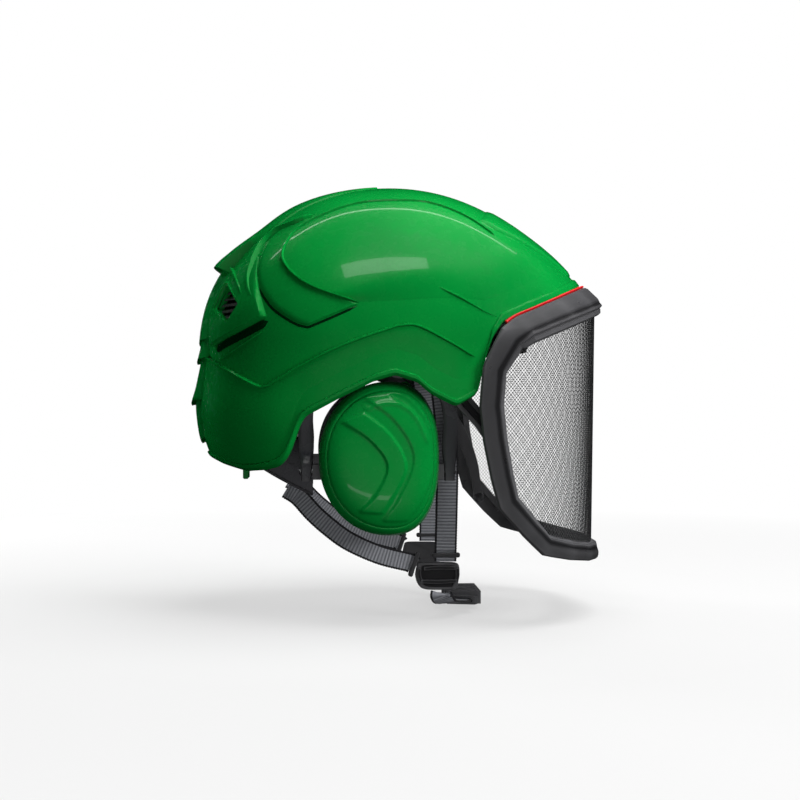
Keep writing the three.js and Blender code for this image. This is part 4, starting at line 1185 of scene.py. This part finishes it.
def add_muffs():
    pair("ear_cup_shell", cup_shell(), CUP_GREEN, "ear_cup", "cup_green", ["muff_cup"], crease=50)
    pair("hoop_bar", joined(muff_hoop(), hoop_ears()), HOOP_GREY, "muff_hoop", "black_plastic",
         ["muff_hoop"])
    for cushion in pair("ear_cushion", cushion_form(0.8), SKIN, "ear_cup", "cushion_skin",
                        ["muff_cushion"]):
        inflate(cushion, cap_mm=2.2, voxel_mm=3.0)


add_muffs()


# ---------------------------------------------------------------- webbing

def webbing_look(name, dark, light):
    """Woven tape: cross ribs with a fine thread pattern over them, painted shade in the grooves."""
    look = Look(name, dark, 0.8, Sheen_Weight=0.25, Sheen_Roughness=0.4)
    uv = look.nodes.new("ShaderNodeTexCoord").outputs["UV"]
    def stretched(scale):
        return look.add("ShaderNodeMapping", {"Vector": uv, "Scale": scale}).outputs["Vector"]

    # The rib wave paints shade into the troughs between the cross ribs; the fuzz adds a random change of
    # tone.
    rib = look.wave(1, "X", at=stretched((0.143, 1, 1)))
    thread = look.wave(1, "Y", at=stretched((1, 0.55, 1)))
    fuzz = look.noise(900, 3)
    tone = look.sum(look.sum(rib, 0.65, "MULTIPLY"), look.sum(fuzz, 0.35, "MULTIPLY"))
    look.colour(look.blend(tone, dark, light))
    look.bump(thread, 0.35, 0.12)
    look.bump(fuzz, 0.3, 0.08)
    return look.material


WEB = webbing_look("strap_webbing", (0.1, 0.105, 0.115), (0.42, 0.43, 0.47))
WEB_EDGE = webbing_look("strap_edge", (0.014, 0.014, 0.016), (0.03, 0.03, 0.033))

FRONT_ROUTE = [(18, 82.6, 44.6), (19, 81.9, 31), (21, 79.5, 21), (25, 78.2, -10), (27, 75.5, -38),
               (27, 71.5, -70), (26.5, 67, -108.5)]
REAR_ROUTE = [(-80, 52.5, -60.5), (-72, 57.3, -65.5), (-62, 62.8, -76), (-51, 67, -85.5), (-38, 70, -94.5),
              (-18, 70, -103.5), (2, 67.5, -109),
              (4.8, 67.2, -110.5)]
CHIN_ROUTE = [(24, 67.2, -129.6, 1, 0), (24, 66.8, -132, 1, -0.2), (28, 58, -137, 0.35, -0.9),
              (36.5, 44, -138.8, 0.15, -1), (43, 30, -139.4, 0, -1), (44, 21.3, -139.5, 0, -1)]
RIB_PITCH = 1.75


def tape(route, width, thickness=1.5, selvedge=1.3):
    """Ribbed webbing along a route. Its cross ribs and scalloped dark edges are part of the mesh.

    Returns the woven middle and the two edges, each as points, faces, the points in a ring,
    each ring's place along the strap, and where each of its points lies across it.
    """
    route = np.asarray(route, float)
    normals = route[:, 3:] if route.shape[1] > 3 else np.tile([1.0, 0.0], (len(route), 1))
    path = smooth_line(route[:, :3], 400)
    run = np.concatenate([[0], np.cumsum(np.linalg.norm(np.diff(path, axis=0), axis=1))])
    per_rib = 6
    count = int(run[-1] / RIB_PITCH) * per_rib + 1
    places = np.linspace(0, run[-1], count)
    line = np.stack([np.interp(places, run, path[:, k]) for k in range(3)], -1)
    stop = [int(np.argmin(np.linalg.norm(line - p, axis=1))) for p in route[:, :3]]
    facing = np.stack([np.zeros(count), np.interp(np.arange(count), stop, normals[:, 0]),
                       np.interp(np.arange(count), stop, normals[:, 1])], -1)
    ahead = np.gradient(line, axis=0)
    ahead /= np.linalg.norm(ahead, axis=1, keepdims=True)
    across = np.cross(ahead, facing)
    across /= np.linalg.norm(across, axis=1, keepdims=True)
    out = np.cross(across, ahead)
    phase = np.arange(count) / per_rib * TAU
    rib = 0.5 + 0.5 * np.cos(phase)
    parts = []
    half, thick = width / 2, thickness / 2
    inner = half - selvedge

    def ring(section):
        sides, lifts = ([np.broadcast_to(v, count)[:, None] for v in column] for column in zip(*section))
        return np.stack([line + across * a + out * b for a, b in zip(sides, lifts)], 1)

    level = thick * (0.72 + 0.28 * rib)
    crown = [(a, s) for a, s in ((-inner, 0.8), (-inner * 0.5, 1.0), (0.0, 1.0), (inner * 0.5, 1.0),
                                 (inner, 0.8))]
    section = [(a, level * s) for a, s in crown] + [(-a, -level * s) for a, s in crown]
    parts.append((*loft(ring(section)), len(section), places, [a for a, _ in section]))
    for side in (1, -1):
        bulge = half - 0.15 + 0.25 * rib
        a = [inner - 0.1, half - 0.5, bulge, half - 0.5, inner - 0.1]
        b = [level * 0.9, level * 0.95, 0 * level, -level * 0.95, -level * 0.9]
        section = [(np.broadcast_to(side * u, count), v) for u, v in zip(a, b)]
        parts.append((*loft(ring(section)), len(section), places, [half] * 5))
    return parts


def web_piece(name, route, width, body, slot="webbing", replaces=(), mirror=False):
    """One strap: woven middle and dark edges in one object, with the length run along u for the weave."""
    parts = tape(route, width)
    shape = joined(*[(p, f) for p, f, *_ in parts])
    if mirror:
        shape = mirrored(shape)
    obj = piece(name, shape, WEB, body, slot, replaces, crease=60, fix=False)
    obj.data.materials.append(WEB_EDGE)
    layer = obj.data.uv_layers.new(name="run")
    u, v, edge = [], [], []
    for index, (points, _, size, places, sides) in enumerate(parts):
        u.append(np.repeat(places, size))
        v.append(np.tile(np.array(sides, float), len(places)))
        edge.append(np.full(len(points), index > 0))
    u, v, edge = np.concatenate(u), np.concatenate(v), np.concatenate(edge)
    corner = np.zeros(len(obj.data.loops), np.int64)
    obj.data.loops.foreach_get("vertex_index", corner)
    layer.data.foreach_set("uv", np.stack([u[corner], v[corner]], -1).ravel())
    start = np.zeros(len(obj.data.polygons), np.int64)
    obj.data.polygons.foreach_get("loop_start", start)
    obj.data.polygons.foreach_set("material_index", edge[corner[start]].astype(np.int32))
    return obj


def loop_ring(centre, ahead, out, width, thickness, wire=1.7, count=64):
    """A rounded rectangular ring of bent bar that webbing passes through."""
    centre, ahead, out = (np.asarray(v, float) for v in (centre, ahead, out))
    ahead /= np.linalg.norm(ahead)
    out = out - ahead * (out @ ahead)
    out /= np.linalg.norm(out)
    across = np.cross(ahead, out)
    turn = np.linspace(0, TAU, count, endpoint=False)
    a = power(np.cos(turn), 0.32) * (width / 2)
    b = power(np.sin(turn), 0.32) * (thickness / 2)
    line = centre + across * a[:, None] + out * b[:, None]
    rings = []
    around = np.linspace(0, TAU, 12, endpoint=False)
    inward = across * np.cos(turn)[:, None] + out * np.sin(turn)[:, None]
    for angle in around:
        rings.append(line + inward * (wire / 2 * math.cos(angle)) + ahead * (wire * 0.9 * math.sin(angle)))
    return loft(np.stack(rings, 1), loop=True)


def divider():
    """The plate that joins front and rear straps: rounded, with two bars across it and a bar down each end.
    """
    outline = smooth_line([(7, -112), (9, -109.2), (20, -108.9), (33, -109.4), (35.8, -112.5), (35.6, -119),
                           (34, -126), (30, -127.4), (14, -127.2), (8.5, -124.5), (6.2, -118), (7, -112)],
                           90)
    middle = outline.mean(0)
    rings = []
    for scale, y in ((0.93, 64.8), (0.985, 65.1), (1.0, 65.8), (1.0, 68.4), (0.985, 69.2), (0.93, 69.7),
                     (0.80, 69.7), (0.78, 69.2)):
        flat = middle + (outline[:-1] - middle) * scale
        rings.append(np.stack([flat[:, 0], np.full(len(flat), y), flat[:, 1]], -1))
    plate = loft(rings)
    bars = [plate_along([(12, -113, 2.4), (22, -112.4, 2.6), (33, -112.6, 2.4)], 69.0, 71.4, 0.6, 24),
            plate_along([(10, -121.5, 2.4), (22, -121.8, 2.8), (34, -121.2, 2.4)], 69.0, 71.6, 0.6, 24),
            plate_along([(9, -113, 2.2), (8.6, -117, 2.4), (10.2, -122, 2.2)], 69.0, 71.2, 0.6, 20),
            plate_along([(34.2, -113, 2.2), (34.6, -117, 2.4), (33.8, -122, 2.2)], 69.0, 71.2, 0.6, 20)]
    return joined(plate, *bars)


def add_straps():
    for side, mirror in (("right", True), ("left", False)):
        web_piece(f"front_web_{side}", FRONT_ROUTE, 15, "helmet", replaces=[f"front_strap_{side}"],
                  mirror=mirror)
        web_piece(f"rear_web_{side}", REAR_ROUTE, 13, "helmet", replaces=[f"rear_strap_{side}"],
                  mirror=mirror)
    web_piece("chin_web_right", CHIN_ROUTE, 15, "helmet", replaces=["chin_strap_right"], mirror=True)
    chin_left = web_piece("chin_web_left", CHIN_ROUTE, 15, None, replaces=["chin_strap_left"])
    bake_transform(chin_left)
    pair("divider", divider(), BLACK, "helmet", "black_plastic", ["strap_divider"])
    rings = [loop_ring((26.5, 69.6, -104), (0, 0, 1), (0, 1, 0), 17.5, 4.6),
             loop_ring((5.2, 68.6, -110.2), (0.9, 0, -0.3), (0, 1, 0), 15.5, 4.4)]
    pair("strap_loops", joined(*rings), BLACK, "helmet", "black_plastic")


def at(x, y, z):
    return (x * MM, y * MM, (z - SEAT) * MM)


BUCKLE = {"x": 44, "z": -139.5}


def rounded_block(low, high, radius=1.6, rows=4):
    """A block whose edges are all rounded."""
    mesh = bpy.data.meshes.new("block")
    bm = bmesh.new()
    points, faces = box_part(low, high)
    verts = [bm.verts.new(p) for p in points]
    for face in faces:
        bm.faces.new([verts[i] for i in face])
    bmesh.ops.recalc_face_normals(bm, faces=bm.faces)
    bmesh.ops.bevel(bm, geom=list(bm.edges), offset=radius, segments=rows, profile=0.5, affect="EDGES")
    bm.verts.ensure_lookup_table()
    bm.verts.index_update()
    made = np.array([v.co for v in bm.verts]), [tuple(v.index for v in f.verts) for f in bm.faces]
    bm.free()
    bpy.data.meshes.remove(mesh)
    return made


def add_buckle():
    x, z = BUCKLE["x"], BUCKLE["z"]
    grips = []
    for side in (1, -1):
        for k in range(5):
            y = 8 + k * 1.6
            grips.append(rounded_block((x + side * 12 - 0.7, y, z - 3.2),
                                       (x + side * 12 + 0.7, y + 0.8, z + 3.2), 0.3, 2))
    bars = [rounded_block((x - 10.5, 16.5, z - 4.9), (x + 10.5, 18.6, z + 4.9), 0.7, 3)]
    rim = [rounded_block((x - 9.6, -9.5, z - 5.1), (x + 9.6, -8.3, z + 5.1), 0.4, 2),
           rounded_block((x - 9.6, -19.6, z - 4.9), (x + 9.6, -17.5, z + 4.9), 0.7, 3),
           rounded_block((x - 10.6, 1.6, z - 5.0), (x + 10.6, 3.6, z + 5.0), 0.7, 3)]
    piece("buckle_socket_ribs", joined(*rim), BLACK, "helmet", "black_plastic")
    piece("buckle_plug_grips", joined(*grips, *bars), BLACK, "buckle_plug", "black_plastic")
    dress(["buckle_socket", "buckle_plug", "strap_keeper"], BLACK, 1.2)


add_straps()
add_buckle()


# ---------------------------------------------------------------- pads, headband and nape cradle

def felt_look(name, dark, light):
    """Knitted pad cloth: a fine loop grid, speckled between two greys."""
    look = Look(name, dark, 0.95, Sheen_Weight=0.35, Sheen_Roughness=0.5)
    speck = look.noise(1300, 4)
    loops = look.cells(820)
    look.colour(look.blend(look.ramp(speck, 0.35, 0.65), dark, light))
    look.bump(loops, 0.6, 0.35)
    look.bump(look.noise(220, 3), 0.2, 0.4)
    return look.material


FELT = felt_look("pad_felt", (0.3, 0.29, 0.29), (0.62, 0.61, 0.6))
LINER = foam_look("liner_shell", (0.02, 0.02, 0.022))


def head_patch(dome, top, bottom, inset, thickness, columns=40, rows=16):
    """A pad against a dome: a crowned closed form between two lines, thin at its rim."""
    top, bottom = (spread(np.asarray(line, float), columns) for line in (top, bottom))
    v = np.linspace(0, 1, rows)[:, None, None]
    flat = top * (1 - v) + bottom * v
    u = np.linspace(0, 1, columns)[None, :]
    w = np.linspace(0, 1, rows)[:, None]
    rim = np.minimum(1, 6.5 * np.minimum(u, 1 - u)) * np.minimum(1, 4.5 * np.minimum(w, 1 - w))
    crown = np.sqrt(np.clip(rim * (2 - rim), 0, 1))
    back = on_dome(dome, flat, inset + thickness * 0.42 * (1 - crown))
    face = on_dome(dome, flat, inset + thickness * (0.5 + 0.5 * crown))
    points = np.vstack([back.reshape(-1, 3), face.reshape(-1, 3)])
    count = rows * columns
    faces = grid_faces(rows, columns) + [tuple(reversed(f)) for f in grid_faces(rows, columns, start=count)]
    border = ([i for i in range(columns)] + [i * columns + columns - 1 for i in range(1, rows)]
              + [(rows - 1) * columns + i for i in range(columns - 2, -1, -1)]
              + [i * columns for i in range(rows - 2, 0, -1)])
    for a, b in zip(border, border[1:] + border[:1]):
        faces.append((b, a, a + count, b + count))
    return points, faces


def oval_point(dome, degrees, depth):
    """Where a dome's widest level, drawn in by depth, is crossed at an angle round from the front."""
    turn = np.radians(degrees)
    square = 2 / dome["round"]
    along = power(np.cos(turn), square)
    reach = np.where(along > 0, read(dome["front"], 90.0), read(dome["rear"], 90.0))
    return np.stack([dome["crown"] + along * (reach - depth),
                     (read(dome["half"], 90.0) - depth) * power(np.sin(turn), square)], -1)


def oval_strip(dome, inset, thickness, low, high, start, stop, steps, rows=9, round_by=0.8, puff=0.0):
    """An upright strip round a dome, its edges rounded and its inner face swelling by puff."""
    share = np.linspace(0, 1, steps)
    degrees = start + (stop - start) * share
    bottom, top = low(share), high(share)
    rings = []
    v = np.linspace(0, 1, rows)
    edge = np.minimum(1, np.minimum(v, 1 - v) * (rows - 1) * 0.5)
    ends = np.minimum(1, np.minimum(share, 1 - share) * steps * 0.34 + 0.25)
    bow = np.sqrt(np.clip(1 - (2 * v - 1) ** 2, 0, 1))
    for k in range(rows):
        depth = inset + round_by * (1 - edge[k])
        xy = oval_point(dome, degrees, depth)
        rings.append(np.concatenate([xy, (bottom + (top - bottom) * v[k])[:, None]], 1))
    for k in reversed(range(rows)):
        depth = inset + (thickness - round_by * (1 - edge[k]) + puff * (bow[k] - 1)) * ends
        xy = np.stack([oval_point(dome, d, q) for d, q in zip(degrees, depth)])
        rings.append(np.concatenate([xy, (bottom + (top - bottom) * v[k])[:, None]], 1))
    return loft(np.stack(rings, 1))


def dip(share):
    return 30 * (2 * np.abs(share - 0.5)) ** 1.4


def add_inside():
    dress(["inner_liner"], LINER, 1.5)
    ring = smooth_line([(-52, 0), (-44, 22), (-9, 33), (26, 22), (36, 0)], 46)
    far = on_dome(HEAD, np.stack([ring[:, 0], ring[:, 1], np.full(46, 115)], -1))
    near = far * [1, -1, 1]
    crown = piece("crown_cushion", head_patch(HEAD, far, near, 0.6, 9.6, 46, 26), FELT, "helmet",
                  "pad_fabric",
                  ["crown_pad"])
    ys = np.linspace(-45, 45, 40)
    high = on_dome(HEAD, np.stack([np.full(40, 84.0), ys, np.full(40, 73.0)], -1))
    low = on_dome(HEAD, np.stack([np.full(40, 92.0), ys, np.full(40, 48.0)], -1))
    brow = piece("brow_cushion", head_patch(HEAD, high, low, 0.5, 7.4, 40, 16), FELT, "helmet",
                 "pad_fabric",
                 ["brow_pad"])
    top = from_side(HEAD, [(x, 77) for x in np.linspace(-37, 23, 30)])
    bottom = from_side(HEAD, [(x, 51) for x in np.linspace(-46, 32, 30)])
    sides = pair("side_cushion", head_patch(HEAD, top, bottom, 0.5, 6.0, 30, 14), FELT, "helmet",
                 "pad_fabric",
                 ["side_pad"])
    nape = piece("nape_cushion", oval_strip(NAPE, 5.4, 5.4, lambda s: -29.5 - dip(s) * 0.85,
                                            lambda s: -8.5 - dip(s) * 0.6, 122.5, 237.5, 90, 13, 1.4, 1.2),
                 FELT, "nape_adjuster", "pad_fabric", ["nape_pad"])
    for pad in (crown, brow, *sides, nape):
        inflate(pad, pressure=3.0, voxel_mm=3.0, cap_mm=1.0)

    arch = lambda s: 6 * np.sin(math.pi * s) ** 2
    band = oval_strip(HEAD, 4, 1.8, lambda s: 28 + arch(s), lambda s: 43 + arch(s) * 0.3, -128, 128, 150,
                      7, 0.5)
    rails = [oval_strip(HEAD, 3.4, 2.6, lambda s, k=k: 30.5 + arch(s) + k, lambda s,
                        k=k: 31.8 + arch(s) + k,
                        -126, 126, 150, 5, 0.4) for k in (0, 8.6)]
    piece("headband_strip", joined(band, *rails), BLACK, "helmet", "black_plastic", ["headband"])


def nape_wing():
    """The cradle: a strip that hangs lower at its two ends, with a raised rim and pressed ribs."""
    body = oval_strip(NAPE, 2, 3, lambda s: -34 - dip(s), lambda s: -6 - dip(s) * 0.75, 118, 242, 130, 15,
                      0.9)
    rim = [oval_strip(NAPE, 1.2, 3.0, lambda s: -34 - dip(s), lambda s: -32 - dip(s), 118.2, 241.8, 130, 5,
                      0.7),
           oval_strip(NAPE, 1.2, 3.0, lambda s: -8 - dip(s) * 0.75, lambda s: -6 - dip(s) * 0.75, 118.2,
                      241.8, 130, 5, 0.7)]
    ribs = []
    for start, stop in ((120, 138), (222, 240)):
        span = lambda s, a=start, b=stop: np.abs((a + (b - a) * s - 118) / 124)
        ribs.append(oval_strip(NAPE, 1.4, 1.6, lambda s, f=span: -24 - dip(f(s)) * 0.9,
                               lambda s, f=span: -20.5 - dip(f(s)) * 0.9, start, stop, 30, 5, 0.6))
        ribs.append(oval_strip(NAPE, 1.4, 1.6, lambda s, f=span: -16 - dip(f(s)) * 0.82,
                               lambda s, f=span: -13 - dip(f(s)) * 0.82, start, stop, 30, 5, 0.6))
    risers = []
    for side in (1, -1):
        low = oval_point(NAPE, 142.0, 2.8)
        high = oval_point(HEAD, 134.0, 7.6)
        route = smooth_line([(low[0], low[1], -25), (low[0], low[1], -12), (high[0], high[1], 14),
                             (high[0], high[1], 40)], 50) * [1, side, 1]
        ahead = np.gradient(route, axis=0)
        ahead /= np.linalg.norm(ahead, axis=1, keepdims=True)
        outward = np.stack([route[:, 0] - HEAD["crown"], route[:, 1], np.zeros(50)], -1)
        across = np.cross(ahead, outward)
        across /= np.linalg.norm(across, axis=1, keepdims=True)
        out = np.cross(across, ahead)
        section = [(-5, -0.6), (-4.4, -1.2), (4.4, -1.2), (5, -0.6), (5, 0.6), (4.4, 1.2), (2.2, 1.2),
                   (1.8, 0.6),
                   (-1.8, 0.6), (-2.2, 1.2), (-4.4, 1.2), (-5, 0.6)]
        risers.append(loft(np.stack([route + across * a + out * b for a, b in section], 1)))
    return joined(body, *rim, *ribs, *risers)


def knob():
    """The fluted tightening wheel, turned about a line along X."""
    count = 192
    angles = np.linspace(0, TAU, count, endpoint=False)
    flutes = 16
    rows = [(118.9, 10.0), (118.9, 12.6), (119.6, 13.6), (121, 14.0), (125.6, 14.0), (127.0, 13.2),
            (127.7, 12.0),
            (127.9, 10.8), (127.4, 9.8), (127.2, 4.6), (126.7, 4.0), (126.7, 0.4)]
    rings = []
    for x, radius in rows:
        depth = 0.9 if radius > 11.5 else 0.0
        r = radius - depth * (0.5 - 0.5 * np.cos(flutes * angles)) ** 0.7
        rings.append(np.stack([np.full(count, -x), r * np.cos(angles), -20 + r * np.sin(angles)], -1))
    return loft(rings)


CRADLE_GREY = plastic_look("cradle_grey", (0.11, 0.11, 0.12), 0.2, 0.34)
piece("nape_cradle_wing", nape_wing(), CRADLE_GREY, "nape_adjuster", "black_plastic", ["nape_cradle"])
piece("tightening_knob", knob(), BLACK, "nape_knob", "black_plastic", ["nape_knob"])
dress(["knob_housing"], BLACK, 1.0)
add_inside()
dress(both("side_bracket", "muff_lever"), BLACK, 0.5)
dress(both("muff_plate"), BLACK, 0.4)
dress(["headlamp_hook"], GREEN, 0.4)


# ---------------------------------------------------------------- studio

CAMERA = Vector((-0.061, -0.998, -SEAT * MM))
CAMERA_TURN_DEG = -3.5  # about the upright, from looking along +Y
LENS_MM = 62.5
FLOOR_GAP = 0.004  # metres of air under the lowest solid


def studio():
    """A pale floor that fades into a white surround. Neither lights the object: the lamps do."""
    bpy.context.scene.view_settings.view_transform = "Standard"
    floor_z = CAD_BOX[0].z - FLOOR_GAP
    mesh = bpy.data.meshes.new("studio_floor")
    bm = bmesh.new()
    bmesh.ops.create_circle(bm, cap_ends=True, radius=40.0, segments=96)
    bm.to_mesh(mesh)
    bm.free()
    floor = bpy.data.objects.new("studio_floor", mesh)
    floor.location.z = floor_z
    bpy.context.scene.collection.objects.link(floor)
    look = Look("pale_floor", (0.5, 0.5, 0.5), 0.9, Specular_IOR_Level=0.0)
    distance = look.add("ShaderNodeVectorMath", {0: look.place}, operation="LENGTH").outputs["Value"]
    glow = look.add("ShaderNodeEmission", {"Color": (1, 1, 1, 1), "Strength": 1.0})
    mix = look.add("ShaderNodeMixShader", {0: look.ramp(distance, 0.3, 0.9, 0.55, 1.0)})
    look.links.new(look.shader.outputs[0], mix.inputs[1])
    look.links.new(glow.outputs[0], mix.inputs[2])
    look.links.new(mix.outputs[0], look.nodes["Material Output"].inputs["Surface"])
    floor.data.materials.append(look.material)
    floor.visible_diffuse = False
    floor.visible_glossy = False
    floor.visible_shadow = False

    world = bpy.data.worlds.new("studio_world")
    bpy.context.scene.world = world
    world.use_nodes = True
    world.node_tree.nodes["Background"].inputs["Color"].default_value = (1, 1, 1, 1)
    world.cycles_visibility.diffuse = False
    world.cycles_visibility.glossy = False


def area_light(name, place, aim, size, power_w, spread_deg=180):
    light = bpy.data.lights.new(name, "AREA")
    light.shape = "RECTANGLE"
    light.size, light.size_y = size
    light.energy = power_w
    light.spread = math.radians(spread_deg)
    obj = bpy.data.objects.new(name, light)
    obj.location = place
    obj.rotation_euler = (Vector(aim) - Vector(place)).to_track_quat("-Z", "Y").to_euler()
    bpy.context.scene.collection.objects.link(obj)
    return obj


def soft(*settings):
    """A broad light that gives no reflection of its own shape."""
    light = area_light(*settings)
    light.visible_glossy = False


def mirrored_light(name, point, distance, size, power_w, roll=0.0):
    """A softbox placed where the camera sees it mirrored in the shell at a side view point."""
    near = from_side(SHELL, [point], 0.0, -1)
    normal = Vector(dome_normal(SHELL, near)[0])
    spot = Vector(at(*near[0]))
    look = (spot - CAMERA).normalized()
    bounce = look - 2 * look.dot(normal) * normal
    light = area_light(name, spot + bounce * distance, spot, size, power_w)
    light.rotation_euler.rotate_axis("Z", math.radians(roll))
    light.visible_diffuse = False
    return light


def camera():
    data = bpy.data.cameras.new("camera")
    data.lens = LENS_MM
    data.sensor_width = 36
    obj = bpy.data.objects.new("camera", data)
    obj.location = CAMERA
    obj.rotation_euler = (math.radians(90), 0, math.radians(CAMERA_TURN_DEG))
    bpy.context.scene.collection.objects.link(obj)
    bpy.context.scene.camera = obj


studio()
soft("top_bank", (0.35, -0.1, 1.0), (0, 0, -0.05), (1.2, 1.0), 27)
soft("front_key", (1.1, -0.9, 0.35), (0.05, 0, -0.08), (0.6, 0.6), 15)
soft("side_fill", (-0.1, -1.3, -0.5), (0, 0, -0.2), (1.4, 0.8), 5)
soft("far_fill", (0.1, 1.5, 0.3), (0, 0, -0.1), (1.6, 1.2), 9)
soft("rear_rim", (-0.8, 0.75, 0.2), (-0.05, 0, -0.08), (0.3, 1.0), 12)
edge = area_light("edge_strip", (0.0, 0.33, 1.1), (0, 0, -0.02), (2.2, 0.03), 1.2)
edge.visible_diffuse = False
low = area_light("low_strip", (-0.2, -1.2, -0.5), (0, 0, -0.12), (0.7, 0.06), 0.25)
low.visible_diffuse = False
mirrored_light("side_box", (-20, 86), 0.8, (0.46, 0.17), 0.8, 9)
camera()
